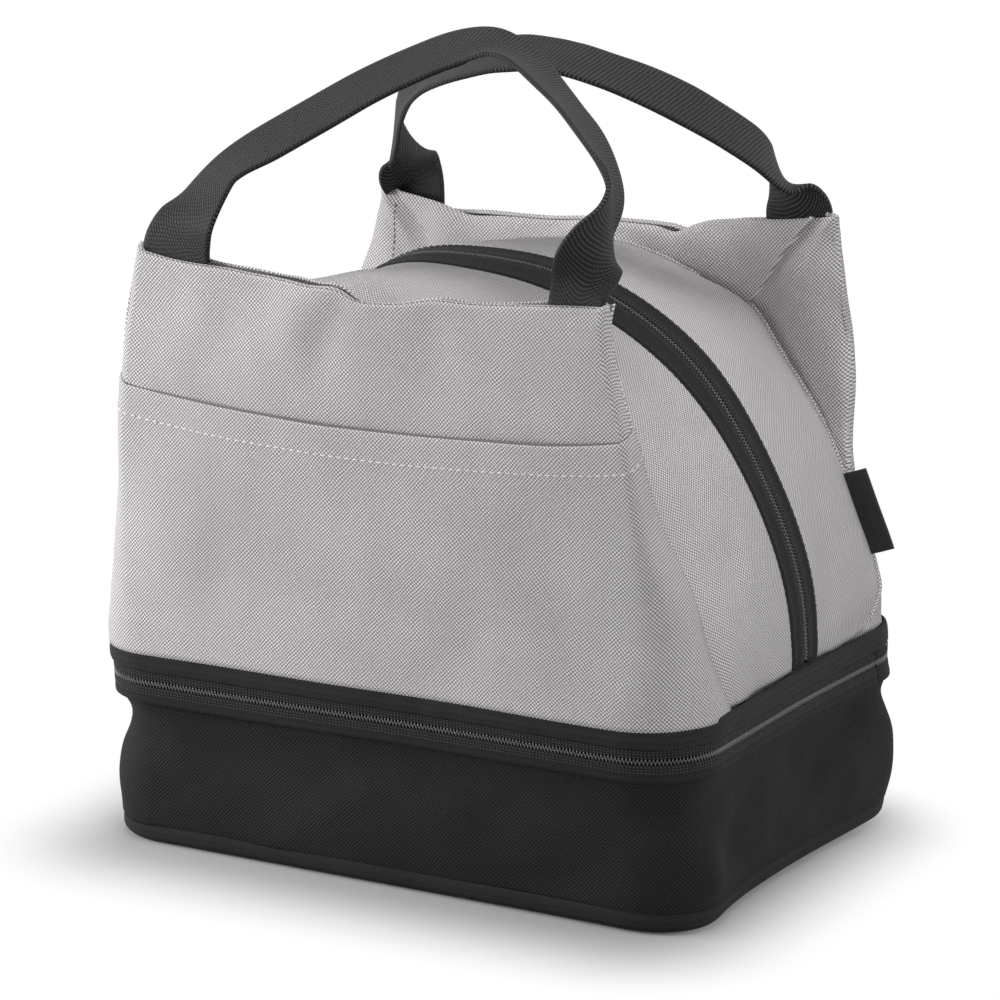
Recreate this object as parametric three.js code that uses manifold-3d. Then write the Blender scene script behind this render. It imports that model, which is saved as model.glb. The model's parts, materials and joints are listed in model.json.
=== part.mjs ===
// Insulated lunch bag with two compartments: a zipped base box, and a domed upper
// compartment whose front and rear halves zip together over the top.
// Millimetres. X is the width, Y runs from front (negative) to rear, Z is up.
// The origin is the centre of the underside.

import * as THREE from 'three';
import { mergeVertices } from 'three/addons/utils/BufferGeometryUtils.js';
import Module from 'manifold-3d';

// Driving dimensions

const bagWidth = 240;
const bagDepth = 175;
const cornerRadius = 27;
const baseZipHeight = 60;

const fabric = 0.8;
const foam = 4;
const lining = 0.4;
const clearance = 0.3;
const seamGap = 0.4;

const bottomRimHeight = 7;
const bottomRounding = 4;
const bottomChamfer = 1.2;
const wallFootInset = 1.2;
const wallBellyHeight = 16;
const wallBellyInset = 0.3;
const wallMiddleHeight = 30;
const wallMiddleInset = 0.8;
const wallWaistDrop = 7.1;
const wallWaistInset = 3.2;
const wallTopInset = 0.8;
const liningRounding = 1;

const tapeReach = 6.9;
const tapeThickness = 0.8;
const tapeInset = 1;
const coilHeight = 1.8;
const coilThickness = 2.4;
const coilProud = 0.8;
const coilBevel = 0.5;
const coilSplit = 1.5;
const zipEndInset = 29.5;

const bandRise = 4.5;
const bandHeight = 7.5;
const bandProud = 0.5;
const bandRoll = 1.3;
const dividerRise = 5;

const domeCentreRise = 16;
const domeSideInset = 1;
const domeTiltAngle = THREE.MathUtils.degToRad(4.5);
const domeZipTopY = -2;
const domeTapeFrontTop = 15;
const domeTapeFrontFoot = 10;
const domeTapeRearTop = 11;
const domeTapeRearFoot = 9;

const seamArchInset = 3.5;
const seamArchRise = 129;
const seamArchPower = 1.8;
const seamInset = 10.5;
const seamFootInset = 27.5;
const seamDepthPower = 2.5;
const padFootShare = 0.1;
const padTopShare = 0.98;
const padEndShare = 0.985;

const earRise = 143;
const earInset = 26;
const earFoldRadius = 5.4;
const earShare = 0.41;
const topEdgeDip = 8;
const topEdgePower = 1.5;
const panelInset = 2.5;
const panelFootInset = 0.5;
const panelTopInset = 3.1;
const panelFootReach = 28;
const panelSidePower = 1.6;
const foldRadiusPower = 2.2;
const facingEarInset = 2.2;
const facingEarPower = 4;
const facingEndShare = 0.9;

const pocketRise = 89.5;
const pocketMouthFlare = 10;
const pocketMouthPower = 2.5;
const pocketRoom = 4.7;
const pocketRoomPower = 6;
const pocketRampHeight = 27;
const pocketRoomShare = 0.85;

const webbingWidth = 25;
const webbingThickness = 1.6;
const handleEarInset = 15;
const handleSeat = 1.3;
const frontHandleReach = 99;
const rearHandleReach = 94;
const handleLeanAngle = THREE.MathUtils.degToRad(49);
const handleStandHeight = 12;
const handleTailLength = 20;
const handleTwistStart = 12;
const handleTwistEnd = 40;

const sliderLength = 12;
const sliderWidth = 8.4;
const sliderTailWidth = 6.2;
const sliderNotch = 1.2;
const sliderRounding = 1.5;
const sliderPlate = 1;
const sliderPlay = 0.4;
const sliderBackPlay = 1.1;
const bridgeWire = 0.7;
const bridgeWidth = 1.6;
const bridgeReach = 4.1;
const bridgeLeg = 1;
const pullerReach = 18;
const pullerWidth = 5.4;
const pullerNeckWidth = 4.6;
const pullerThickness = 0.7;
const pullerSlotLength = 4.5;
const pullerSlotWidth = 1.8;
const pullerSlotEdge = 2;
const baseSliderSetback = 10;
const domeSliderDrop = 4;

const labelWidth = 9;
const labelLift = 1.8;
const labelFootShare = 0.856;
const labelTopShare = 0.705;

// Sizes worked out from the driving dimensions

const halfWidth = bagWidth / 2;
const halfDepth = bagDepth / 2;
const wallTopHeight = baseZipHeight - tapeReach;
const wallWaistHeight = wallTopHeight - wallWaistDrop;
const zipEndY = halfDepth - zipEndInset;
const bandFootHeight = baseZipHeight + bandRise;
const bandTopHeight = bandFootHeight + bandHeight;
const dividerHeight = baseZipHeight + dividerRise;
const upperFoot = bandTopHeight + seamGap;
const domeCentreHeight = bandTopHeight + domeCentreRise;
const domeRadius = halfWidth - domeSideInset;
const domeCentreY = domeZipTopY + domeRadius * Math.sin(domeTiltAngle);
const seamArchHalfWidth = halfWidth - seamArchInset;
const seamArchHeight = bandTopHeight + seamArchRise;
const seamDepth = halfDepth - seamInset;
const seamFootDepth = halfDepth - seamFootInset;
const earHeight = bandTopHeight + earRise;
const earHalfWidth = halfWidth - earInset;
const panelDepth = halfDepth - panelInset;
const panelFootDepth = halfDepth - panelFootInset;
const panelTopDepth = halfDepth - panelTopInset;
const pocketMouthHeight = bandTopHeight + pocketRise;
const handleAnchorX = earHalfWidth - handleEarInset;
const baseSliderY = zipEndY - baseSliderSetback;
const shellInset = fabric + clearance;
const foamInset = shellInset + foam;
const liningInset = foamInset + clearance;
const weldSink = 0.1;
const mergeTolerance = 1e-4;

// Materials

function finish(colour, roughness, metalness = 0) {
  return new THREE.MeshStandardMaterial({ color: colour, roughness, metalness });
}

const greyOxford = finish('#b1adab', 0.85);
const blackOxford = finish('#18181a', 0.88);
const blackTape = finish('#1f1f21', 0.8);
const blackNylon = finish('#111112', 0.42);
const blackWebbing = finish('#161617', 0.82);
const foamWhite = finish('#e9e7e0', 0.95);
const liningSilver = finish('#c9cccf', 0.4);
const blackMetal = finish('#17171a', 0.38, 0.6);
const labelCloth = finish('#1b1b1c', 0.8);

// Mesh building

const vector = (x, y, z) => new THREE.Vector3(x, y, z);

function signedVolume(points, index) {
  let volume = 0;
  for (let i = 0; i < index.length; i += 3) {
    const [a, b, c] = [points[index[i]], points[index[i + 1]], points[index[i + 2]]];
    volume += a.dot(b.clone().cross(c)) / 6;
  }
  return volume;
}

// A closed geometry from shared points; its faces are turned to point out.
function closedGeometry(points, index) {
  const inward = signedVolume(points, index) < 0;
  const order = inward ? index.slice().reverse() : index;
  const geometry = new THREE.BufferGeometry().setFromPoints(points);
  geometry.setIndex(order);
  geometry.computeVertexNormals();
  return geometry;
}

function quad(index, a, b, c, d) {
  index.push(a, b, c, a, c, d);
}

// The solid between an outer and an inner grid of points, with its four edges closed.
function solidBetween(outer, inner) {
  const rows = outer.length;
  const columns = outer[0].length;
  const points = [...outer.flat(), ...inner.flat()];
  const at = (side, row, column) => side * rows * columns + row * columns + column;
  const index = [];
  for (let row = 0; row < rows - 1; row++) {
    for (let column = 0; column < columns - 1; column++) {
      const [right, up] = [column + 1, row + 1];
      quad(index, at(0, row, column), at(0, row, right), at(0, up, right), at(0, up, column));
      quad(index, at(1, row, column), at(1, up, column), at(1, up, right), at(1, row, right));
    }
  }
  for (let row = 0; row < rows - 1; row++) {
    const [up, last] = [row + 1, columns - 1];
    quad(index, at(0, row, 0), at(0, up, 0), at(1, up, 0), at(1, row, 0));
    quad(index, at(0, up, last), at(0, row, last), at(1, row, last), at(1, up, last));
  }
  for (let column = 0; column < columns - 1; column++) {
    const [right, last] = [column + 1, rows - 1];
    quad(index, at(0, 0, right), at(0, 0, column), at(1, 0, column), at(1, 0, right));
    quad(index, at(0, last, column), at(0, last, right), at(1, last, right), at(1, last, column));
  }
  return closedGeometry(points, index);
}

// Each grid point moved along the surface normal, on the side that faces the point within.
function offsetGrid(grid, distance, within) {
  const rows = grid.length;
  const columns = grid[0].length;
  return grid.map((line, row) => line.map((point, column) => {
    const left = line[Math.max(column - 1, 0)];
    const right = line[Math.min(column + 1, columns - 1)];
    const below = grid[Math.max(row - 1, 0)][column];
    const above = grid[Math.min(row + 1, rows - 1)][column];
    const normal = right.clone().sub(left).cross(above.clone().sub(below)).normalize();
    const side = Math.sign(normal.dot(within.clone().sub(point))) || 1;
    return point.clone().addScaledVector(normal, side * distance);
  }));
}

function layer(grid, nearInset, farInset, within) {
  return solidBetween(offsetGrid(grid, nearInset, within), offsetGrid(grid, farInset, within));
}

// A band swept along a list of frames: every frame gives the section's corners in order.
function sweep(sections, closed = false) {
  const count = sections.length;
  const corners = sections[0].length;
  const points = sections.flat();
  const at = (section, corner) => (section % count) * corners + (corner % corners);
  const index = [];
  for (let section = 0; section < (closed ? count : count - 1); section++) {
    const next = section + 1;
    for (let corner = 0; corner < corners; corner++) {
      quad(index, at(section, corner), at(section, corner + 1), at(next, corner + 1), at(next, corner));
    }
  }
  if (!closed) {
    for (let corner = 1; corner < corners - 1; corner++) {
      index.push(at(0, 0), at(0, corner + 1), at(0, corner));
      index.push(at(count - 1, 0), at(count - 1, corner), at(count - 1, corner + 1));
    }
  }
  return closedGeometry(points, index);
}

// Solids are joined and cut on meshes whose shared points are merged.

const wasm = await Module();
wasm.setup();

function toSolid(geometry) {
  const bare = geometry.clone();
  bare.deleteAttribute('normal');
  bare.deleteAttribute('uv');
  const merged = mergeVertices(bare, mergeTolerance);
  const mesh = new wasm.Mesh({
    numProp: 3,
    vertProperties: new Float32Array(merged.attributes.position.array),
    triVerts: new Uint32Array(merged.index.array),
  });
  return new wasm.Manifold(mesh);
}

function toGeometry(solid) {
  const mesh = solid.getMesh();
  const geometry = new THREE.BufferGeometry();
  const positions = new Float32Array(mesh.vertProperties);
  geometry.setAttribute('position', new THREE.BufferAttribute(positions, 3));
  geometry.setIndex(new THREE.BufferAttribute(new Uint32Array(mesh.triVerts), 1));
  geometry.computeVertexNormals();
  return geometry;
}

function box(x0, x1, y0, y1, z0, z1) {
  const geometry = new THREE.BoxGeometry(x1 - x0, y1 - y0, z1 - z0);
  return geometry.translate((x0 + x1) / 2, (y0 + y1) / 2, (z0 + z1) / 2);
}

function piece(name, geometry, material) {
  const mesh = new THREE.Mesh(geometry, material);
  mesh.name = name;
  return mesh;
}

// The rim: the rounded rectangle of the base zip, seen from above

const cornerStepCount = 6;

// Points round the rim with their outward normals, from the rear left corner by the front
// to the rear right corner. The whole rim also holds the rear side.
function rimPoints(whole) {
  const cx = halfWidth - cornerRadius;
  const cy = halfDepth - cornerRadius;
  const points = [];
  const corner = (centreX, centreY, startAngle) => {
    for (let step = 0; step <= cornerStepCount; step++) {
      const angle = startAngle + (step / cornerStepCount) * (Math.PI / 2);
      const normal = new THREE.Vector2(Math.cos(angle), Math.sin(angle));
      const place = normal.clone().multiplyScalar(cornerRadius);
      points.push({ x: centreX + place.x, y: centreY + place.y, normal });
    }
  };
  if (whole) corner(-cx, cy, Math.PI / 2);
  else points.push({ x: -halfWidth, y: zipEndY, normal: new THREE.Vector2(-1, 0) });
  corner(-cx, -cy, Math.PI);
  corner(cx, -cy, -Math.PI / 2);
  if (whole) corner(cx, cy, 0);
  else points.push({ x: halfWidth, y: zipEndY, normal: new THREE.Vector2(1, 0) });
  return points;
}

function rimPoint(rim, inset, z) {
  return vector(rim.x - rim.normal.x * inset, rim.y - rim.normal.y * inset, z);
}

// A profile of [inset, height] corners carried round the rim.
function rimSections(rims, profile) {
  return rims.map((rim) => profile.map(([inset, z]) => rimPoint(rim, inset, z)));
}

function rimSweep(profile, whole = true) {
  return sweep(rimSections(rimPoints(whole), profile), whole);
}

// A tray: the profile starts and ends at the middle of the bag.
function rimTray(profile) {
  const sections = rimSections(rimPoints(true), profile);
  const count = sections.length;
  const end = profile.length - 1;
  const points = sections.flat();
  const at = (section, corner) => (section % count) * profile.length + corner;
  const first = points.push(vector(0, 0, profile[0][1])) - 1;
  const last = points.push(vector(0, 0, profile[end][1])) - 1;
  const index = [];
  for (let section = 0; section < count; section++) {
    const next = section + 1;
    for (let corner = 0; corner < end; corner++) {
      quad(index, at(section, corner), at(section, corner + 1), at(next, corner + 1), at(next, corner));
    }
    index.push(first, at(section, 0), at(next, 0));
    index.push(last, at(next, end), at(section, end));
  }
  return closedGeometry(points, index);
}

// Base

// How far the soft wall stands inside the rim, from the bottom seam to the zip tape.
const wallProfile = [
  [wallFootInset, bottomRimHeight + seamGap],
  [wallBellyInset, wallBellyHeight],
  [wallMiddleInset, wallMiddleHeight],
  [wallWaistInset, wallWaistHeight],
  [wallTopInset, wallTopHeight],
];

// One layer of the wall, between two depths under its outer face.
function wallLayer(near, far) {
  const outer = wallProfile.map(([inset, z]) => [inset + near, z]);
  const inner = wallProfile.map(([inset, z]) => [inset + far, z]);
  return [...outer, ...inner.reverse()];
}

function makeBaseBottom() {
  const rim = wallFootInset;
  return piece('base_bottom', rimTray([
    [rim + bottomRounding, 0],
    [rim + bottomChamfer, bottomChamfer],
    [rim, bottomRounding],
    [rim, bottomRimHeight],
    [rim + fabric, bottomRimHeight],
    [rim + fabric, bottomRounding],
    [rim + bottomChamfer + fabric, bottomChamfer + fabric],
    [rim + bottomRounding + fabric, fabric],
  ]), blackOxford);
}

const floorFoamTop = shellInset + foam;

function makeBaseWalls() {
  const edge = wallFootInset + bottomRounding + shellInset;
  const floor = rimTray([[edge, shellInset], [edge, floorFoamTop]]);
  return [
    piece('base_wall', rimSweep(wallLayer(0, fabric)), blackOxford),
    piece('base_foam_floor', floor, foamWhite),
    piece('base_foam_wall', rimSweep(wallLayer(shellInset, foamInset)), foamWhite),
  ];
}

function makeBaseLining() {
  const floor = floorFoamTop + clearance;
  const edge = wallFootInset + liningInset + liningRounding;
  return piece('base_lining', rimTray([
    [edge, floor],
    ...wallLayer(liningInset, liningInset + lining),
    [edge + lining, floor + lining],
  ]), liningSilver);
}

// A half of the base zip: its tape on edge along the rim, and its coil.
function makeBaseZipHalf(name, tapeEdge, coilEdge, outward) {
  const coilFar = coilEdge + outward * coilHeight;
  const tapeNear = coilFar + outward * clearance;
  const coilInset = tapeInset - coilProud;
  const tape = [
    [tapeInset, tapeEdge], [tapeInset, tapeNear],
    [tapeInset + tapeThickness, tapeNear], [tapeInset + tapeThickness, tapeEdge],
  ];
  const coilBack = coilInset + coilThickness - coilBevel;
  const coil = [
    [coilInset + coilBevel, coilFar],
    [coilInset, coilEdge + outward * coilHeight / 2],
    [coilInset + coilBevel, coilEdge],
    [coilBack, coilEdge],
    [coilBack, coilFar],
  ];
  return [
    piece(`${name}_zip_tape`, rimSweep(tape, false), blackTape),
    piece(`${name}_zip_coil`, rimSweep(coil, false), blackNylon),
  ];
}

// The rear strip of cloth, between the ends of the zip, bends on the hinge line: its lower
// half belongs to the base and its upper half to the upper body.
function makeHingeStrip(name, foot, top) {
  const rims = rimPoints(true);
  const rightEnd = { x: halfWidth, y: zipEndY + clearance, normal: new THREE.Vector2(1, 0) };
  const leftEnd = { x: -halfWidth, y: zipEndY + clearance, normal: new THREE.Vector2(-1, 0) };
  const rightCorner = rims.slice(-cornerStepCount - 1);
  const leftCorner = rims.slice(0, cornerStepCount + 1);
  const profile = [
    [tapeInset, foot], [tapeInset, top],
    [tapeInset + fabric, top], [tapeInset + fabric, foot],
  ];
  const sections = rimSections([rightEnd, ...rightCorner, ...leftCorner, leftEnd], profile);
  return piece(name, sweep(sections), blackOxford);
}

// Upper body: the border band with its zip half, and the insulated divider

function makeBand() {
  const inner = tapeInset - clearance;
  return piece('border_band', rimSweep([
    [inner - fabric, bandFootHeight],
    [-bandProud / 2, bandFootHeight + bandRoll],
    [-bandProud, (bandFootHeight + bandTopHeight) / 2],
    [-bandProud / 2, bandTopHeight - bandRoll],
    [inner - fabric, bandTopHeight],
    [inner, bandTopHeight],
    [inner, bandFootHeight],
  ]), blackOxford);
}

function makeDivider() {
  const edge = tapeInset + tapeThickness + clearance;
  const plate = (foot, top) => rimTray([[edge, foot], [edge, top]]);
  const foamFoot = dividerHeight + fabric + clearance;
  const foamTop = foamFoot + foam;
  const liningFoot = foamTop + clearance;
  return [
    piece('divider_underside', plate(dividerHeight, dividerHeight + fabric), blackOxford),
    piece('divider_foam', plate(foamFoot, foamTop), foamWhite),
    piece('divider_lining', plate(liningFoot, liningFoot + lining), liningSilver),
  ];
}

// The dome zip: an arc in a plane that leans a little

const domeUp = vector(0, -Math.sin(domeTiltAngle), Math.cos(domeTiltAngle));
const domeAxis = vector(0, Math.cos(domeTiltAngle), Math.sin(domeTiltAngle));
const domeCentre = vector(0, domeCentreY, domeCentreHeight);

// A point of the dome at an angle from its top, a radius, and a distance across its plane.
function domePoint(angle, radius, across) {
  return domeCentre.clone()
    .addScaledVector(vector(1, 0, 0), radius * Math.sin(angle))
    .addScaledVector(domeUp, radius * Math.cos(angle))
    .addScaledVector(domeAxis, across);
}

// The angle at which the arc comes down to the border band.
function domeFootAngle(radius, across) {
  const drop = upperFoot - domeCentreHeight - across * Math.sin(domeTiltAngle);
  return Math.acos(drop / (radius * Math.cos(domeTiltAngle)));
}

// The curves of each half run by a share: 0 at the middle of the top, 1 at the right foot
// and -1 at the left foot. The ear of the panel is at earShare.
const earColumnCount = 5;
const sideColumnCount = 11;

function shares(limit = 1) {
  const right = [];
  for (let step = 1; step <= earColumnCount; step++) right.push(earShare * step / earColumnCount);
  const rest = limit - earShare;
  for (let step = 1; step <= sideColumnCount; step++) right.push(earShare + rest * step / sideColumnCount);
  return [...right.map((share) => -share).reverse(), 0, ...right];
}

function domeZipPoint(share, radius, across) {
  return domePoint(share * domeFootAngle(radius, across), radius, across);
}

// Each half is drawn as the front one; facing is -1 for the front half and 1 for the rear.
class Half {
  constructor(name, facing, tapeTop, tapeFoot) {
    this.name = name;
    this.facing = facing;
    this.tapeTop = tapeTop;
    this.tapeFoot = tapeFoot;
    this.middle = domeCentre;
  }

  tapeWidth(share) {
    return this.tapeTop + (this.tapeFoot - this.tapeTop) * Math.abs(share);
  }

  zipEdge(share) {
    return domeZipPoint(share, domeRadius, this.facing * this.tapeWidth(share));
  }

  // The arched seam between the gusset and the panel.
  seam(share, grow = 0) {
    const angle = Math.abs(share) * Math.PI / 2;
    const power = 2 / seamArchPower;
    const rise = Math.max(Math.cos(angle), 0) ** power;
    const x = Math.sign(share) * (seamArchHalfWidth + grow) * Math.sin(angle) ** power;
    const z = upperFoot + (seamArchHeight + grow - upperFoot) * rise;
    const bulge = 1 - (1 - rise) ** seamDepthPower;
    const depth = seamFootDepth + (seamDepth - seamFootDepth) * bulge;
    return vector(x, this.facing * depth, z);
  }

  gussetGrid(rows, limit = 1, from = 0, to = 1) {
    const grid = [];
    for (let row = 0; row <= rows; row++) {
      const across = from + (to - from) * row / rows;
      grid.push(shares(limit).map((share) => this.seam(share).lerp(this.zipEdge(share), across)));
    }
    return grid;
  }
}

const frontHalf = new Half('front', -1, domeTapeFrontTop, domeTapeFrontFoot);
const rearHalf = new Half('rear', 1, domeTapeRearTop, domeTapeRearFoot);

// The panel: flat in the middle, folded back at its sides, with an ear at each top corner

function topEdge(x) {
  const out = Math.min(Math.abs(x) / earHalfWidth, 1);
  return earHeight - topEdgeDip * (1 - out ** topEdgePower);
}

const panelShare = (z) => THREE.MathUtils.clamp((z - upperFoot) / (earHeight - upperFoot), 0, 1);

function panelHalfWidth(z) {
  const flare = (1 - panelShare(z) ** 2) ** panelSidePower;
  return earHalfWidth + (halfWidth - clearance - earHalfWidth) * flare;
}

function panelFace(z) {
  const foot = THREE.MathUtils.clamp((z - upperFoot) / panelFootReach, 0, 1);
  const top = THREE.MathUtils.smoothstep(z, pocketMouthHeight, earHeight);
  const lower = panelFootDepth + (panelDepth - panelFootDepth) * foot;
  return lower + (panelTopDepth - panelDepth) * top;
}

function foldRadius(z) {
  const opening = (1 - panelShare(z)) ** foldRadiusPower;
  return earFoldRadius + (cornerRadius - earFoldRadius) * opening;
}

// The share of the panel's columns that is flat; the rest turns round the folds.
const flatShare = 0.8;
const panelRight = [0.3, 0.6, flatShare, 0.85, 0.9, 0.95, 1];
const panelAcross = [...panelRight.map((across) => -across).reverse(), 0, ...panelRight];

// A point of the panel: across from -1 to 1, at a height, and out from its face.
function panelPoint(facing, across, z, out = 0) {
  const radius = foldRadius(z);
  const face = panelFace(z);
  const side = Math.sign(across) || 1;
  const flat = panelHalfWidth(z) - radius;
  if (Math.abs(across) <= flatShare) {
    return vector(side * flat * Math.abs(across) / flatShare, facing * (face + out), z);
  }
  const turn = (Math.abs(across) - flatShare) / (1 - flatShare) * Math.PI / 2;
  const reach = radius + out;
  return vector(
    side * (flat + reach * Math.sin(turn)),
    facing * (face - radius + reach * Math.cos(turn)),
    z,
  );
}

function panelGrid(facing, rows, topAt, out = 0, reach = () => 0) {
  const grid = [];
  for (let row = 0; row <= rows; row++) {
    grid.push(panelAcross.map((across) => {
      const top = topAt(earHalfWidth * Math.abs(across));
      const z = upperFoot + (top - upperFoot) * row / rows;
      return panelPoint(facing, across, z, out + reach(across, z));
    }));
  }
  return grid;
}

function makePanel(half) {
  const outer = panelGrid(half.facing, 10, topEdge);
  const inner = panelGrid(half.facing, 10, topEdge, -fabric);
  return piece(`${half.name}_panel`, solidBetween(outer, inner), greyOxford);
}

// The slip pocket stands a little off the front panel, so that things go in behind it.
function makePocket() {
  const mouth = (x) => pocketMouthHeight + pocketMouthFlare * (x / earHalfWidth) ** pocketMouthPower;
  const room = (across, z) => {
    const sides = 1 - Math.min(Math.abs(across) / pocketRoomShare, 1) ** pocketRoomPower;
    const ramp = THREE.MathUtils.smoothstep(z, upperFoot, upperFoot + pocketRampHeight);
    return pocketRoom * sides * ramp;
  };
  const inner = panelGrid(-1, 8, mouth, clearance, room);
  const outer = panelGrid(-1, 8, mouth, clearance + fabric, room);
  return piece('front_pocket', solidBetween(outer, inner), greyOxford);
}

// The facing lines the back of the ears, from the arched seam out to the panel's fold, and
// stops short of the band.
function facingEdge(half, share) {
  const at = Math.abs(share);
  const onTop = at <= earShare;
  const alongTop = Math.min(at / earShare, 1);
  const down = Math.max(at - earShare, 0) / (1 - earShare);
  const x = earHalfWidth * alongTop;
  const z = onTop ? topEdge(x) : earHeight - (earHeight - upperFoot) * down;
  const fold = onTop ? earFoldRadius : foldRadius(z);
  const reach = (onTop ? x : panelHalfWidth(z)) - facingEarInset * alongTop ** facingEarPower;
  return vector(Math.sign(share) * reach, half.facing * (panelFace(z) - fold + seamGap), z);
}

function makeFacing(half) {
  const row = (step) => shares(facingEndShare).map((share) => {
    return half.seam(share, seamGap).lerp(facingEdge(half, share), step);
  });
  const outside = vector(0, half.facing * bagDepth, baseZipHeight);
  const cloth = layer([row(0), row(0.5), row(1)], 0, fabric, outside);
  return piece(`${half.name}_facing`, cloth, greyOxford);
}

function makeGusset(half) {
  return piece(`${half.name}_gusset`, layer(half.gussetGrid(3), 0, fabric, half.middle), greyOxford);
}

// Flat pads behind the panel: foam, then lining, inside the arched seam.
function archPad(half, halfSpan, top, near, far) {
  const steps = 20;
  const power = 2 / seamArchPower;
  const corners = [];
  for (let step = 0; step <= steps; step++) {
    const angle = Math.PI * step / steps;
    const rise = Math.max(Math.sin(angle), 0) ** power;
    const across = Math.sign(Math.cos(angle)) * Math.abs(Math.cos(angle)) ** power;
    corners.push(new THREE.Vector2(halfSpan * across, upperFoot + (top - upperFoot) * rise));
  }
  const outline = new THREE.Shape(corners);
  const geometry = new THREE.ExtrudeGeometry(outline, { depth: far - near, bevelEnabled: false });
  geometry.rotateX(Math.PI / 2);
  geometry.translate(0, half.facing < 0 ? -near : far, 0);
  return geometry;
}

// The gusset's padding stops a little short of the band and of both seams.
function makeHalfPadding(half) {
  const foamFace = Math.min(panelTopDepth, panelDepth, panelFootDepth) - shellInset;
  const foamBack = foamFace - foam;
  const liningFace = foamBack - clearance;
  const padSpan = halfWidth - cornerRadius + clearance;
  const padTop = seamArchHeight - foamInset;
  const gusset = half.gussetGrid(1, padEndShare, padFootShare, padTopShare);
  const gussetFoam = layer(gusset, shellInset, foamInset, half.middle);
  const gussetLining = layer(gusset, liningInset, liningInset + lining, half.middle);
  const panelFoam = archPad(half, padSpan, padTop, foamBack, foamFace);
  const panelLining = archPad(half, padSpan, padTop, liningFace - lining, liningFace);
  return [
    piece(`${half.name}_foam_panel`, panelFoam, foamWhite),
    piece(`${half.name}_foam_gusset`, gussetFoam, foamWhite),
    piece(`${half.name}_lining_panel`, panelLining, liningSilver),
    piece(`${half.name}_lining_gusset`, gussetLining, liningSilver),
  ];
}

function makeDomeZipHalf(half) {
  const side = half.facing;
  const near = coilSplit / 2;
  const coilFar = near + coilHeight;
  const tapeNear = coilFar + clearance;
  const run = (corners) => shares().map((share) => {
    return corners(share).map(([radius, across]) => domeZipPoint(share, radius, side * across));
  });
  const tapeBack = domeRadius - tapeThickness;
  const tape = run((share) => {
    const tapeFar = half.tapeWidth(share) - seamGap;
    return [[domeRadius, tapeNear], [domeRadius, tapeFar], [tapeBack, tapeFar], [tapeBack, tapeNear]];
  });
  const top = domeRadius + coilProud;
  const coilBack = top - coilThickness + coilBevel;
  const coil = run(() => [
    [top - coilBevel, near],
    [top, (near + coilFar) / 2],
    [top - coilBevel, coilFar],
    [coilBack, coilFar],
    [coilBack, near],
  ]);
  return [
    piece(`${half.name}_dome_tape`, sweep(tape), blackTape),
    piece(`${half.name}_dome_coil`, sweep(coil), blackNylon),
  ];
}

// Handles: one length of webbing each, flat at the ears and turned on edge over the bag

// The middle line of the handle: across as a share of half its span, and its length above
// the ears as a share of its reach.
const handleLine = [
  [-1, 0], [-1, 0.12], [-0.96, 0.26], [-0.84, 0.42], [-0.6, 0.62], [-0.33, 0.84], [0, 1],
  [0.33, 0.86], [0.6, 0.68], [0.84, 0.46], [0.96, 0.28], [1, 0.12], [1, 0],
];
const handleSectionCount = 44;
const handleFaceDepth = panelTopDepth - fabric - handleSeat - webbingThickness / 2;
const handleFoot = earHeight + 2 * clearance;

function handleCurve(half, reach) {
  const points = handleLine.map(([across, along]) => {
    const length = along * reach;
    const leaning = Math.max(length - handleStandHeight, 0);
    return vector(
      across * handleAnchorX,
      half.facing * (handleFaceDepth - leaning * Math.sin(handleLeanAngle)),
      handleFoot + Math.min(length, handleStandHeight) + leaning * Math.cos(handleLeanAngle),
    );
  });
  return new THREE.CatmullRomCurve3(points, false, 'centripetal');
}

function makeHandle(half, reach) {
  const curve = handleCurve(half, reach);
  const length = curve.getLength();
  const across = webbingWidth / 2;
  const through = webbingThickness / 2;
  const sections = [];
  for (let step = 0; step <= handleSectionCount; step++) {
    const share = step / handleSectionCount;
    const centre = curve.getPointAt(share);
    const tangent = curve.getTangentAt(share);
    const fromEnd = Math.min(share, 1 - share) * length;
    const lean = handleLeanAngle * THREE.MathUtils.smoothstep(fromEnd, 0, handleTwistEnd);
    const outward = vector(0, half.facing * Math.cos(lean), Math.sin(lean));
    outward.addScaledVector(tangent, -outward.dot(tangent)).normalize();
    const inward = tangent.clone().cross(outward).multiplyScalar(-half.facing);
    const turn = THREE.MathUtils.smoothstep(fromEnd, handleTwistStart, handleTwistEnd) * Math.PI / 2;
    const width = inward.multiplyScalar(Math.cos(turn)).addScaledVector(outward, Math.sin(turn));
    const normal = width.clone().cross(tangent).normalize();
    const corner = (a, b) => centre.clone()
      .addScaledVector(width, a * across)
      .addScaledVector(normal, b * through);
    sections.push([corner(1, 1), corner(-1, 1), corner(-1, -1), corner(1, -1)]);
  }
  return piece(`${half.name}_handle`, sweep(sections), blackWebbing);
}

// The two ends of the webbing, sewn into the ears between panel and facing.
function makeHandleEnds(half) {
  const through = webbingThickness / 2;
  const near = half.facing * handleFaceDepth;
  return [['left', -1], ['right', 1]].map(([sideName, side]) => {
    const middle = side * handleAnchorX;
    const end = box(
      middle - webbingWidth / 2, middle + webbingWidth / 2,
      near - through, near + through, earHeight - handleTailLength, earHeight + clearance,
    );
    return piece(`${half.name}_handle_end_${sideName}`, end, blackWebbing);
  });
}

// Zip sliders, drawn along X with the tape's outer face at height zero

const coilTop = coilProud + sliderPlay;
const coilFoot = coilProud - coilThickness - sliderBackPlay;
const bridgeFoot = coilTop + sliderPlate;
const pivotHeight = bridgeFoot + clearance + pullerThickness / 2;
const bridgeTop = pivotHeight + pullerThickness / 2 + clearance + bridgeWire;

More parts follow.
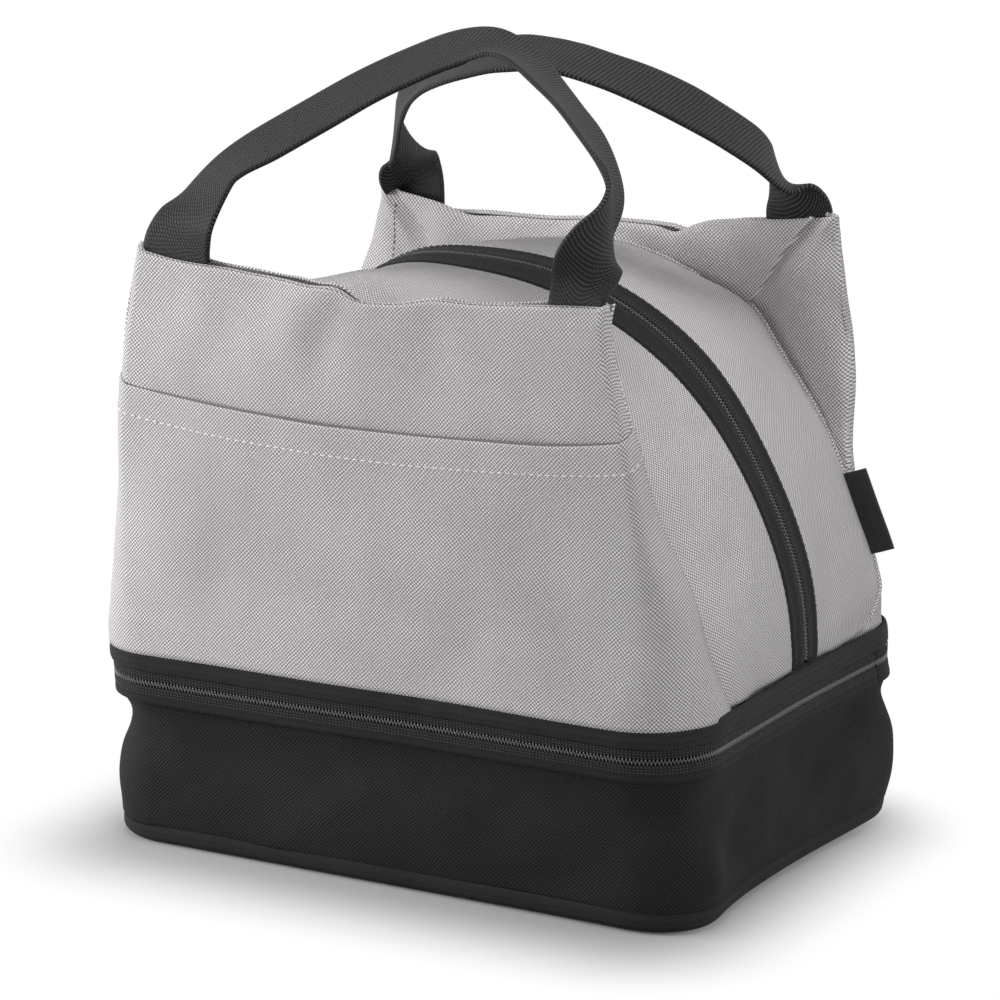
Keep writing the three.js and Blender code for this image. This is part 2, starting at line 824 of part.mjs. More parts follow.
// The shield outline of a slider's plate: wide where the two coils part, with a notch
// between its two shoulders.
function sliderOutline() {
  const end = sliderLength / 2;
  const wide = sliderWidth / 2;
  const tail = sliderTailWidth / 2;
  const round = sliderRounding;
  const outline = new THREE.Shape();
  outline.moveTo(-end + round, -tail);
  outline.lineTo(0, -wide);
  outline.lineTo(end - round, -wide);
  outline.quadraticCurveTo(end, -wide, end, -wide + round);
  outline.lineTo(end - sliderNotch, 0);
  outline.lineTo(end, wide - round);
  outline.quadraticCurveTo(end, wide, end - round, wide);
  outline.lineTo(0, wide);
  outline.lineTo(-end + round, tail);
  outline.quadraticCurveTo(-end, tail, -end, tail - round);
  outline.lineTo(-end, -tail + round);
  outline.quadraticCurveTo(-end, -tail, -end + round, -tail);
  return outline;
}

function plate(outline, foot, top, curveSegments) {
  const depth = top - foot;
  const geometry = new THREE.ExtrudeGeometry(outline, { depth, bevelEnabled: false, curveSegments });
  return toSolid(geometry.translate(0, 0, foot));
}

function makeSlider(name) {
  const post = (coilSplit - 2 * sliderPlay) / 2;
  const bridge = bridgeWidth / 2;
  const open = bridgeReach - bridgeLeg;
  const postEnd = sliderLength / 2 - sliderNotch - weldSink;
  const coilRoom = [coilFoot - weldSink, coilTop + weldSink];
  const upper = plate(sliderOutline(), coilTop, bridgeFoot, 3);
  const lower = plate(sliderOutline(), coilFoot - sliderPlate, coilFoot, 3);
  const divider = toSolid(box(0, postEnd, -post, post, ...coilRoom));
  const stapleFoot = bridgeFoot - weldSink;
  const staple = toSolid(box(-bridgeReach, bridgeReach, -bridge, bridge, stapleFoot, bridgeTop));
  const gap = toSolid(box(-open, open, -bridgeWidth, bridgeWidth, bridgeFoot, bridgeTop - bridgeWire));
  const body = upper.add(lower).add(divider).add(staple.subtract(gap));
  return piece(name, toGeometry(body), blackMetal);
}

// The pull: a bar under the slider's bridge, two arms beside it, and a tab with a slot.
function makePuller(name) {
  const foot = pivotHeight - pullerThickness / 2;
  const top = pivotHeight + pullerThickness / 2;
  const through = [foot - pullerThickness, top + pullerThickness];
  const wide = pullerWidth / 2;
  const neck = pullerNeckWidth / 2;
  const tabStart = -bridgeReach - bridgeLeg;
  const armInner = bridgeWidth / 2 + clearance;
  const slotHalf = pullerSlotWidth / 2;
  const slotFar = -pullerReach + pullerSlotEdge;
  const tab = new THREE.Shape();
  tab.moveTo(0, -neck);
  tab.lineTo(0, neck);
  tab.lineTo(tabStart, wide);
  tab.lineTo(-pullerReach + wide, wide);
  tab.absarc(-pullerReach + wide, 0, wide, Math.PI / 2, Math.PI * 1.5, false);
  tab.lineTo(tabStart, -wide);
  const opening = toSolid(box(tabStart, bridgeReach, -armInner, armInner, ...through));
  const slot = toSolid(box(slotFar, slotFar + pullerSlotLength, -slotHalf, slotHalf, ...through));
  const pin = pullerThickness / 2;
  const bar = new THREE.CylinderGeometry(pin, pin, pullerNeckWidth, 8);
  bar.translate(0, 0, pivotHeight);
  const body = plate(tab, foot, top, 8).subtract(opening).subtract(slot).add(toSolid(bar));
  return piece(name, toGeometry(body), blackMetal);
}

// A slider and its pull set on a zip: where its middle is, which way it travels and faces.
function placedSlider(name, origin, travel, outward) {
  const group = new THREE.Group();
  const across = outward.clone().cross(travel);
  group.applyMatrix4(new THREE.Matrix4().makeBasis(travel, across, outward).setPosition(origin));
  group.add(makeSlider(`${name}_slider`), makePuller(`${name}_puller`));
  return group;
}

function makeDomeSlider() {
  const angle = -Math.acos(-domeSliderDrop / (domeRadius * Math.cos(domeTiltAngle)));
  const travel = vector(Math.cos(angle), 0, 0).addScaledVector(domeUp, -Math.sin(angle));
  const outward = vector(Math.sin(angle), 0, 0).addScaledVector(domeUp, Math.cos(angle));
  return placedSlider('dome', domePoint(angle, domeRadius, 0), travel, outward);
}

function makeBaseSlider() {
  const origin = vector(-halfWidth + tapeInset, baseSliderY, baseZipHeight);
  return placedSlider('base', origin, vector(0, -1, 0), vector(-1, 0, 0));
}

// A plain woven tag, caught in the rear arched seam on the right.
function makeLabel() {
  const steps = 3;
  const lift = vector(0, -labelLift, 0);
  const rise = rearHalf.seam(labelTopShare).sub(rearHalf.seam(labelFootShare));
  const out = vector(rise.z, 0, -rise.x).normalize().multiplyScalar(labelWidth);
  const near = [];
  for (let step = 0; step <= steps; step++) {
    const share = THREE.MathUtils.lerp(labelFootShare, labelTopShare, step / steps);
    near.push(rearHalf.seam(share, fabric + clearance).add(lift));
  }
  const far = near.map((point) => point.clone().add(out));
  return piece('side_label', layer([near, far], 0, fabric, vector(0, -bagDepth, 0)), labelCloth);
}

const stripFoot = wallTopHeight + clearance;
const stripBend = baseZipHeight - clearance / 2;
const stripTop = bandTopHeight - clearance;

const bag = new THREE.Group();
bag.name = 'insulated_lunch_bag';
bag.add(makeBaseBottom(), ...makeBaseWalls(), makeBaseLining());
bag.add(makeHingeStrip('rear_hinge_strip', stripFoot, stripBend));
bag.add(...makeBaseZipHalf('base', stripFoot, baseZipHeight - coilSplit / 2, -1));
bag.add(makeBand(), ...makeDivider());
bag.add(makeHingeStrip('upper_hinge_strip', stripBend + clearance, stripTop));
bag.add(...makeBaseZipHalf('upper', stripTop, baseZipHeight + coilSplit / 2, 1));
for (const half of [frontHalf, rearHalf]) {
  bag.add(makePanel(half), makeFacing(half), makeGusset(half));
  bag.add(...makeHalfPadding(half), ...makeDomeZipHalf(half), ...makeHandleEnds(half));
}
bag.add(makePocket(), makeLabel());
bag.add(makeHandle(frontHalf, frontHandleReach), makeHandle(rearHalf, rearHandleReach));
bag.add(makeDomeSlider(), makeBaseSlider());

export default bag;
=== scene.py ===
"""The dressed model of an insulated lunch bag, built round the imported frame.

The bag is a soft zipped base box with a domed upper compartment, whose front and rear
halves are zipped together over the top. Each sub-assembly is a class that holds its own
sizes, builds its meshes and dresses them. The shape code counts in millimetres, with the
frame's axes: X is the width, Y runs from front to rear and Z is up.
"""

import json
import logging
import math
from dataclasses import dataclass, field
from enum import Enum

import bpy
import numpy as np
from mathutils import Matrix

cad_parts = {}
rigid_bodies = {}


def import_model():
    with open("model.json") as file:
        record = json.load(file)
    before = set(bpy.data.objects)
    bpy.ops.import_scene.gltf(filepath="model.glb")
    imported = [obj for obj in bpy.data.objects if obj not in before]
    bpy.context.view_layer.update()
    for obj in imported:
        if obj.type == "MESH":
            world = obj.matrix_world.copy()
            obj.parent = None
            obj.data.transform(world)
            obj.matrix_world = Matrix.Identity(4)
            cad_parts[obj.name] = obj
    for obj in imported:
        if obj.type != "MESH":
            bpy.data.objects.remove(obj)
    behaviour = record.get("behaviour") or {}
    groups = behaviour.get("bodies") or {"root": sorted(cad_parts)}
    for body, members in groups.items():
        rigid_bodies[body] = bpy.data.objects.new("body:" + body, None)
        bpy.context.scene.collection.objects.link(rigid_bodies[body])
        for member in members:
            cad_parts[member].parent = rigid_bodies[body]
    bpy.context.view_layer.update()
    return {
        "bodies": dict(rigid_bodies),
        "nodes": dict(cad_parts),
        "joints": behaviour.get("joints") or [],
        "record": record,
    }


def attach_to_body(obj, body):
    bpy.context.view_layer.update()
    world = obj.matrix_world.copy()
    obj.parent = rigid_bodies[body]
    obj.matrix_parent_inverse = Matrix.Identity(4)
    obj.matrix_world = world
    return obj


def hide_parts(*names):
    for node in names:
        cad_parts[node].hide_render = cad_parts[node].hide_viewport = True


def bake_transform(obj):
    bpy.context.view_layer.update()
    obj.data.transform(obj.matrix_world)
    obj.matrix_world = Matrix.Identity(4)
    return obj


Array = np.ndarray
MM = 0.001
LOG = logging.getLogger("lunch_bag")
# A flat sheet is closed toward its middle by copies of its last ring, at these shares of its size.
CENTRE = (0.04, 0.008, 0.001)
FINE_RINGS = (0.8, 0.6, 0.4, 0.2, *CENTRE)
COARSE_RINGS = (0.66, 0.33, *CENTRE)

# Numbers and curves


def vector(x: float, y: float, z: float) -> Array:
    """A point or direction."""
    return np.array([x, y, z], dtype=float)


def unit(vectors: Array) -> Array:
    """The vectors at length one."""
    length = np.linalg.norm(vectors, axis=-1, keepdims=True)
    return vectors / np.maximum(length, 1e-9)


def smoothstep(value: Array, start: float, end: float) -> Array:
    """A soft rise from 0 at the start to 1 at the end."""
    share = np.clip((np.asarray(value, float) - start) / (end - start), 0.0, 1.0)
    return share * share * (3 - 2 * share)


def smooth_curve(knots: Array, heights: Array, value: Array) -> Array:
    """A curve through given points that never overshoots them.

    Args:
        knots: rising places of the points.
        heights: the value at each knot.
        value: where the curve is read.

    Returns:
        The curve's value at each place.
    """
    knots, heights = np.asarray(knots, float), np.asarray(heights, float)
    step, rise = np.diff(knots), np.diff(heights)
    slope = rise / step
    inner = np.where(slope[1:] * slope[:-1] > 0,
                     2 * slope[1:] * slope[:-1] / (slope[1:] + slope[:-1] + 1e-12), 0.0)
    tangent = np.concatenate([[slope[0]], inner, [slope[-1]]])
    place = np.clip(np.asarray(value, float), knots[0], knots[-1])
    part = np.clip(np.searchsorted(knots, place, side="right") - 1, 0, len(step) - 1)
    t = (place - knots[part]) / step[part]
    width = step[part]
    return (heights[part] * (1 + 2 * t) * (1 - t) ** 2
            + tangent[part] * width * t * (1 - t) ** 2
            + heights[part + 1] * t * t * (3 - 2 * t)
            + tangent[part + 1] * width * t * t * (t - 1))


def soft_noise(points: Array, wavelength: float, seed: int, waves: int = 9) -> Array:
    """A smooth field of hills and hollows between about -1 and 1.

    Args:
        points: where the field is read.
        wavelength: mean distance from hill to hill.
        seed: picks one field; the same seed gives the same field each run.
        waves: how many plane waves are summed.

    Returns:
        The field's value at each point.
    """
    rng = np.random.default_rng(seed)
    total = np.zeros(points.shape[:-1])
    for _ in range(waves):
        direction = unit(rng.normal(size=3)) * rng.uniform(0.6, 1.5) / wavelength
        total += np.sin(2 * math.pi * (points @ direction) + rng.uniform(0, 2 * math.pi))
    return total / math.sqrt(waves)


def run_along(path: Array) -> Array:
    """How far along the path each of its points lies."""
    return np.concatenate([[0], np.cumsum(np.linalg.norm(np.diff(path, axis=0), axis=1))])


def read_along(at: Array, run: Array, rows: Array) -> Array:
    """Points or directions between those of a path, at given distances along it."""
    return np.stack([np.interp(at, run, rows[:, axis]) for axis in range(3)], 1)


def grid_numbers(rows: int, columns: int) -> tuple[Array, Array]:
    """The row and the column of every place in a grid."""
    row, column = np.meshgrid(np.arange(rows), np.arange(columns), indexing="ij")
    return row.ravel(), column.ravel()


def closing_rings(ring: Array, shares: tuple[float, ...]) -> list[Array]:
    """Copies of a flat ring at shares of its size."""
    return [ring * vector(share, share, 1) for share in shares]


@dataclass(frozen=True)
class Crease:
    """A soft ridge or hollow in cloth, drawn along a short line."""

    centre: tuple[float, float, float]
    along: tuple[float, float, float]
    length: float
    width: float
    height: float

    def lift(self, points: Array) -> Array:
        """How far it moves each point along the surface normal."""
        away = points - np.array(self.centre)
        line = unit(np.array(self.along, float))
        run = away @ line
        beside = np.maximum((away * away).sum(-1) - run * run, 0.0)
        return self.height * np.exp(-(run / self.length) ** 2 - beside / self.width ** 2)


def crease_lift(creases: tuple[Crease, ...], points: Array) -> Array:
    """How far all the creases together move each point."""
    return sum((crease.lift(points) for crease in creases), 0.0)


@dataclass(frozen=True)
class Pull:
    """A soft local shift, shared by all the layers of cloth that lie there."""

    centre: tuple[float, float, float]
    reach: tuple[float, float, float]
    shift: tuple[float, float, float]

    def move(self, points: Array) -> Array:
        """The shift at each point."""
        away = (points - np.array(self.centre)) / np.array(self.reach)
        return np.exp(-(away * away).sum(-1))[..., None] * np.array(self.shift)


# Surfaces and meshes


@dataclass
class Surface:
    """A grid of points with the measure of the cloth that lies on it.

    The first axis of the points is the row and the second the column. A ring joins its
    last column to its first.
    """

    points: Array
    within: Array
    ring: bool = False
    plan: Array | None = None

    def natural_normals(self) -> Array:
        """Normals from the grid's own order of rows and columns."""
        if self.ring:
            across = np.roll(self.points, -1, axis=1) - np.roll(self.points, 1, axis=1)
        else:
            across = np.gradient(self.points, axis=1)
        up = np.gradient(self.points, axis=0)
        return unit(np.cross(across, up))

    def normals(self) -> Array:
        """Normals that point away from the inside of the bag."""
        normals = self.natural_normals()
        inward = np.sum(normals * (self.within - self.points), axis=-1).mean() > 0
        return -normals if inward else normals

    def lifted(self, distance: Array) -> "Surface":
        """The surface moved outward, by one distance or by one for each point."""
        reach = np.asarray(distance, float)
        if reach.ndim == 2:
            reach = reach[..., None]
        return Surface(self.points + self.normals() * reach, self.within, self.ring, self.plan)

    def lifted_with_hem(self, distance: Array, rows: int) -> "Surface":
        """The surface moved outward, where a turned hem goes with the row before it.

        Args:
            distance: how far each point moves.
            rows: how many of the last rows the hem has.

        Returns:
            The moved surface.
        """
        shift = self.normals() * distance[..., None]
        shift[-rows:] = shift[-rows - 1]
        return self.shifted(shift)

    def shifted(self, shift: Array) -> "Surface":
        """The surface moved by one vector for each point."""
        return Surface(self.points + shift, self.within, self.ring, self.plan)

    def cloth(self) -> Array:
        """Where each point lies on the cloth laid flat: its plan, or else its lengths along the grid."""
        if self.plan is not None:
            return self.plan
        points = self.points
        if self.ring:
            points = np.concatenate([points, points[:, :1]], axis=1)
        along = np.linalg.norm(np.diff(points, axis=1), axis=-1)
        u = np.concatenate([np.zeros((points.shape[0], 1)), np.cumsum(along, axis=1)], axis=1)
        u -= u[:, [u.shape[1] // 2]]
        rise = np.linalg.norm(np.diff(points, axis=0), axis=-1)
        v = np.concatenate([np.zeros((1, points.shape[1])), np.cumsum(rise, axis=0)], axis=0)
        return np.stack([u, v], axis=-1)

    def cut_size(self) -> tuple[float, float, float]:
        """Width, length and area in metres of the cloth laid flat."""
        cloth = self.cloth()
        if self.plan is None:
            width = float(np.ptp(cloth[..., 0], axis=1).max())
            length = float(np.ptp(cloth[..., 1], axis=0).max())
        else:
            width, length = float(np.ptp(cloth[..., 0])), float(np.ptp(cloth[..., 1]))
        side_a = cloth[:-1, 1:] - cloth[:-1, :-1]
        side_b = cloth[1:, :-1] - cloth[:-1, :-1]
        area = float(np.abs(side_a[..., 0] * side_b[..., 1] - side_a[..., 1] * side_b[..., 0]).sum())
        share = min(max(area / (width * length), 0.32), 1.0)
        return width * MM, length * MM, share * width * length * MM * MM


@dataclass
class Shape:
    """Points, faces and cloth coordinates of one piece before it becomes a mesh."""

    points: list[Array] = field(default_factory=list)
    faces: list[Array] = field(default_factory=list)
    coordinates: list[Array] = field(default_factory=list)
    count: int = 0

    def add(self, points: Array, faces: list[Array], coordinates: list[Array]) -> None:
        """Adds a part with its own numbering.

        Args:
            points: its points, one row each.
            faces: arrays of three or four point numbers a row.
            coordinates: for each array of faces, the cloth place of every corner.
        """
        self.points.append(points)
        self.faces.extend(part + self.count for part in faces)
        self.coordinates.extend(coordinates)
        self.count += len(points)

    def piece(self, name: str, finish: "Finish") -> bpy.types.Object:
        """Makes the piece, smooth shaded and with its finish.

        Args:
            name: the piece's name.
            finish: what it is dressed in.

        Returns:
            The new object.
        """
        mesh = bpy.data.meshes.new(name)
        corners = [row for part in self.faces for row in part.tolist()]
        mesh.from_pydata((np.concatenate(self.points) * MM).tolist(), [], corners)
        layer = mesh.uv_layers.new(name="cloth")
        flat = np.concatenate([part.reshape(-1, 2) for part in self.coordinates])
        layer.uv.foreach_set("vector", flat.astype(np.float32).ravel())
        mesh.polygons.foreach_set("use_smooth", np.ones(len(mesh.polygons), dtype=bool))
        mesh.materials.append(finish.material())
        mesh.validate()
        made = bpy.data.objects.new(name, mesh)
        bpy.context.scene.collection.objects.link(made)
        return made


def add_cloth(shape: Shape, surface: Surface, thickness: float) -> None:
    """Adds a sheet of even thickness whose outer face is the surface.

    Args:
        shape: what it is added to.
        surface: the outer face.
        thickness: how far inward its other face lies.
    """
    rows, columns = surface.points.shape[:2]
    span = columns if surface.ring else columns - 1
    wide = span + 1
    inner = surface.lifted(-thickness).points
    cloth = surface.cloth()
    points = np.concatenate([surface.points.reshape(-1, 3), inner.reshape(-1, 3)])

    def corner(side: int, row: Array, column: Array) -> Array:
        """The unwrapped number of a grid point on one of the two faces."""
        return side * rows * wide + row * wide + column

    r, c = grid_numbers(rows - 1, span)
    quads = [
        np.stack([corner(0, r, c), corner(0, r, c + 1), corner(0, r + 1, c + 1), corner(0, r + 1, c)], 1),
        np.stack([corner(1, r, c), corner(1, r + 1, c), corner(1, r + 1, c + 1), corner(1, r, c + 1)], 1),
    ]
    c = np.arange(span)
    for row, turn in ((0, 1), (rows - 1, 0)):
        at = np.full(span, row)
        edge = [corner(0, at, c + turn), corner(0, at, c + 1 - turn),
                corner(1, at, c + 1 - turn), corner(1, at, c + turn)]
        quads.append(np.stack(edge, 1))
    if not surface.ring:
        r = np.arange(rows - 1)
        for column, turn in ((0, 0), (span, 1)):
            at = np.full(rows - 1, column)
            edge = [corner(0, r + turn, at), corner(0, r + 1 - turn, at),
                    corner(1, r + 1 - turn, at), corner(1, r + turn, at)]
            quads.append(np.stack(edge, 1))
    unwrapped = np.concatenate(quads)
    natural = surface.natural_normals()
    if np.sum(natural * surface.normals()) < 0:
        unwrapped = unwrapped[:, ::-1]
    side, rest = unwrapped // (rows * wide), unwrapped % (rows * wide)
    row, column = rest // wide, rest % wide
    faces = side * rows * columns + row * columns + column % columns
    shape.add(points, [faces], [cloth[row, column]])


def cloth_piece(name: str, surface: Surface, thickness: float, finish: "Finish") -> bpy.types.Object:
    """One sheet as a piece of its own."""
    shape = Shape()
    add_cloth(shape, surface, thickness)
    return shape.piece(name, finish)


def declare_cloth(surface: Surface) -> None:
    width, length, area = surface.cut_size()


def add_tube(shape: Shape, path: Array, radius: Array, side: Array, sides: int = 8) -> None:
    """Adds a round cord of cloth or thread along a path, with closed ends.

    Args:
        shape: what it is added to.
        path: its middle line.
        radius: one radius, or one for each point of the path.
        side: a direction, or one for each point, that is never along the path.
        sides: the corners of its section.
    """
    tangent = unit(np.gradient(path, axis=0))
    first = unit(np.cross(tangent, side))
    second = np.cross(tangent, first)
    reach = np.broadcast_to(np.asarray(radius, float), (len(path),))[:, None, None]
    angle = np.arange(sides) * 2 * math.pi / sides
    ring = np.cos(angle)[None, :, None] * first[:, None] + np.sin(angle)[None, :, None] * second[:, None]
    grid = path[:, None] + ring * reach
    run = run_along(path)
    count = len(path)
    i, j = grid_numbers(count - 1, sides)
    after = (j + 1) % sides
    quads = np.stack([i * sides + j, (i + 1) * sides + j, (i + 1) * sides + after, i * sides + after], 1)
    round_mm = 2 * math.pi * float(np.mean(reach)) / sides
    place = np.stack([
        np.stack([run[i], j * round_mm], 1), np.stack([run[i + 1], j * round_mm], 1),
        np.stack([run[i + 1], (j + 1) * round_mm], 1), np.stack([run[i], (j + 1) * round_mm], 1),
    ], 1)
    points = np.concatenate([grid.reshape(-1, 3), path[:1], path[-1:]])
    j = np.arange(sides)
    after = (j + 1) % sides
    start = np.stack([np.full(sides, count * sides), j, after], 1)
    last = (count - 1) * sides
    end = np.stack([np.full(sides, count * sides + 1), last + after, last + j], 1)
    caps = np.concatenate([start, end])
    shape.add(points, [quads, caps], [place, np.zeros((len(caps), 3, 2))])


def bead(sides: int = 6, rings: int = 4) -> tuple[Array, Array, Array]:
    """A rounded bead of unit half length, from which teeth and stitches are made.

    Returns:
        Its points, its quads and its end triangles.
    """
    turn = np.arange(sides) * 2 * math.pi / sides
    slope = (np.arange(1, rings) / rings - 0.5) * math.pi
    along = np.sign(np.sin(slope)) * np.abs(np.sin(slope)) ** 0.6
    reach = np.cos(slope) ** 0.6
    body = np.stack([
        np.repeat(along, sides),
        (reach[:, None] * np.cos(turn)).ravel(),
        (reach[:, None] * np.sin(turn)).ravel(),
    ], 1)
    points = np.concatenate([body, [[-1, 0, 0], [1, 0, 0]]])
    i, j = grid_numbers(rings - 2, sides)
    after = (j + 1) % sides
    quads = np.stack([i * sides + j, i * sides + after, (i + 1) * sides + after, (i + 1) * sides + j], 1)
    j = np.arange(sides)
    after = (j + 1) % sides
    last = (rings - 2) * sides
    low, high = len(points) - 2, len(points) - 1
    ends = np.concatenate([
        np.stack([np.full(sides, low), after, j], 1),
        np.stack([np.full(sides, high), last + j, last + after], 1),
    ])
    return points, quads[:, ::-1], ends[:, ::-1]


def add_beads(shape: Shape, places: Array, along: Array, out: Array, size: tuple) -> None:
    """Adds one bead at each place.

    Args:
        shape: what they are added to.
        places: their middles.
        along: the direction of each bead's length.
        out: the direction in which each stands up.
        size: half length, half width and half height.
    """
    points, quads, ends = bead()
    along, out = unit(along), unit(out)
    beside = unit(np.cross(out, along))
    out = np.cross(along, beside)
    body = (points[None, :, :1] * size[0] * along[:, None]
            + points[None, :, 1:2] * size[1] * beside[:, None]
            + points[None, :, 2:] * size[2] * out[:, None] + places[:, None])
    offset = (np.arange(len(places)) * len(points))[:, None, None]
    quad_faces = (quads[None] + offset).reshape(-1, 4)
    end_faces = (ends[None] + offset).reshape(-1, 3)
    spread = points[:, :2] * np.array(size[:2])
    shift = np.arange(len(places))[:, None, None] * 0.37
    quad_places = (spread[quads][None] + shift[..., None]).reshape(-1, 4, 2)
    end_places = (spread[ends][None] + shift[..., None]).reshape(-1, 3, 2)
    shape.add(body.reshape(-1, 3), [quad_faces, end_faces], [quad_places, end_places])


@dataclass(frozen=True)
class Stitch:
    """The length and width of one stitch, and how far it is from one to the next."""

    length: float
    pitch: float
    thickness: float


BINDING_LOOP = Stitch(0.75, 1.3, 0.5)
TAPE_STITCH = Stitch(1.9, 2.6, 0.45)
TOP_EDGE_STITCH = Stitch(1.5, 2.0, 0.4)
WING_STITCH = Stitch(1.6, 2.4, 0.45)
HEM_STITCH = Stitch(2.1, 3.1, 0.55)


def stitch_row(shape: Shape, path: Array, out: Array, stitch: Stitch) -> None:
    """Adds a row of sewing stitches along a path.

    Args:
        shape: what they are added to.
        path: the line of the seam.
        out: the surface normal at each point of the path.
        stitch: the measures of the stitches.
    """
    run = run_along(path)
    at = np.arange(stitch.pitch, run[-1] - stitch.pitch / 2, stitch.pitch)
    places = read_along(at, run, path)
    along = read_along(at + 0.5, run, path) - places
    size = (stitch.length / 2, stitch.thickness / 2, stitch.thickness / 2.4)
    add_beads(shape, places, along, read_along(at, run, out), size)


def stitched_piece(name: str, path: Array, out: Array, stitch: Stitch, finish: "Finish") -> bpy.types.Object:
    """One row of stitches as a piece of its own."""
    shape = Shape()
    stitch_row(shape, path, out, stitch)
    return shape.piece(name, finish)


def attach(made: bpy.types.Object, body: str, slot: str, *nodes: str) -> None:
    """Hides the nodes for which a piece stands and puts it on the one body on which it rides.

    Args:
        made: the piece.
        body: the body.
        slot: the record's slot; not used.
        nodes: the nodes for which it stands, if any.
    """
    if nodes:
        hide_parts(*nodes)
    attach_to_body(made, body)


# Finishes


def to_linear(colour: str) -> tuple[float, float, float, float]:
    """The linear colour of an sRGB hex value."""
    parts = [int(colour[at:at + 2], 16) / 255 for at in (1, 3, 5)]
    linear = [part / 12.92 if part <= 0.04045 else ((part + 0.055) / 1.055) ** 2.4 for part in parts]
    return (linear[0], linear[1], linear[2], 1.0)


Tree = bpy.types.NodeTree
Node = bpy.types.Node
Socket = bpy.types.NodeSocket


def add_node(tree: Tree, kind: str, inputs: dict | None = None, **settings: object) -> Node:
    """Adds a shader node with its settings and links.

    Args:
        tree: the node tree.
        kind: the node's type.
        inputs: for a socket's name or number, its value or the output that feeds it.
        settings: the node's own properties.

    Returns:
        The new node.
    """
    made = tree.nodes.new(kind)
    for key, value in settings.items():
        setattr(made, key, value)
    for key, value in (inputs or {}).items():
        if isinstance(value, Socket):
            tree.links.new(value, made.inputs[key])
        else:
            made.inputs[key].default_value = value
    return made


def calculate(tree: Tree, operation: str, *values: object) -> Socket:
    """A number worked out from others."""
    return add_node(tree, "ShaderNodeMath", dict(enumerate(values)), operation=operation).outputs[0]


def calculate_vector(tree: Tree, operation: str, *values: object) -> Socket:
    """A vector worked out from others."""
    made = add_node(tree, "ShaderNodeVectorMath", dict(enumerate(values)), operation=operation)
    return made.outputs[0]


def add_noise(tree: Tree, place: Socket, scale: float, detail: float) -> Node:
    """Adds a soft noise of patches or fibres."""
    return add_node(tree, "ShaderNodeTexNoise", {"Vector": place, "Scale": scale, "Detail": detail})


def blend_colours(tree: Tree, share: Socket, low: str | Socket, high: str | Socket) -> Socket:
    """Adds a blend of two colours.

    Args:
        tree: the node tree.
        share: 0 for the first colour alone, 1 for the second.
        low: the first colour.
        high: the second colour.

    Returns:
        The blended colour.
    """
    low, high = (to_linear(colour) if isinstance(colour, str) else colour for colour in (low, high))
    return add_node(tree, "ShaderNodeMix", {0: share, 6: low, 7: high}, data_type="RGBA").outputs[2]


class Weave(Enum):
    """How the threads of a cloth lie."""

    OXFORD = "oxford"
    TWILL = "twill"
    RIBBED = "ribbed"


class Finish:
    """Something that a piece can be dressed in; its material is made once."""

    name: str

    def material(self) -> bpy.types.Material:
        """The material, made at its first use."""
        known = bpy.data.materials.get(self.name)
        if known:
            return known
        made = bpy.data.materials.new(self.name)
        made.use_nodes = True
        made.node_tree.nodes.clear()
        shader = self.build(made.node_tree)
        add_node(made.node_tree, "ShaderNodeOutputMaterial", {"Surface": shader.outputs[0]})
        return made

    def build(self, tree: Tree) -> Node:
        """Adds the nodes and returns the shader."""
        raise NotImplementedError


def wave(tree: Tree, coordinate: Socket, period_mm: float) -> Socket:
    """A cosine of the coordinate with the given period."""
    return calculate(tree, "COSINE", calculate(tree, "MULTIPLY", coordinate, 2 * math.pi / period_mm))


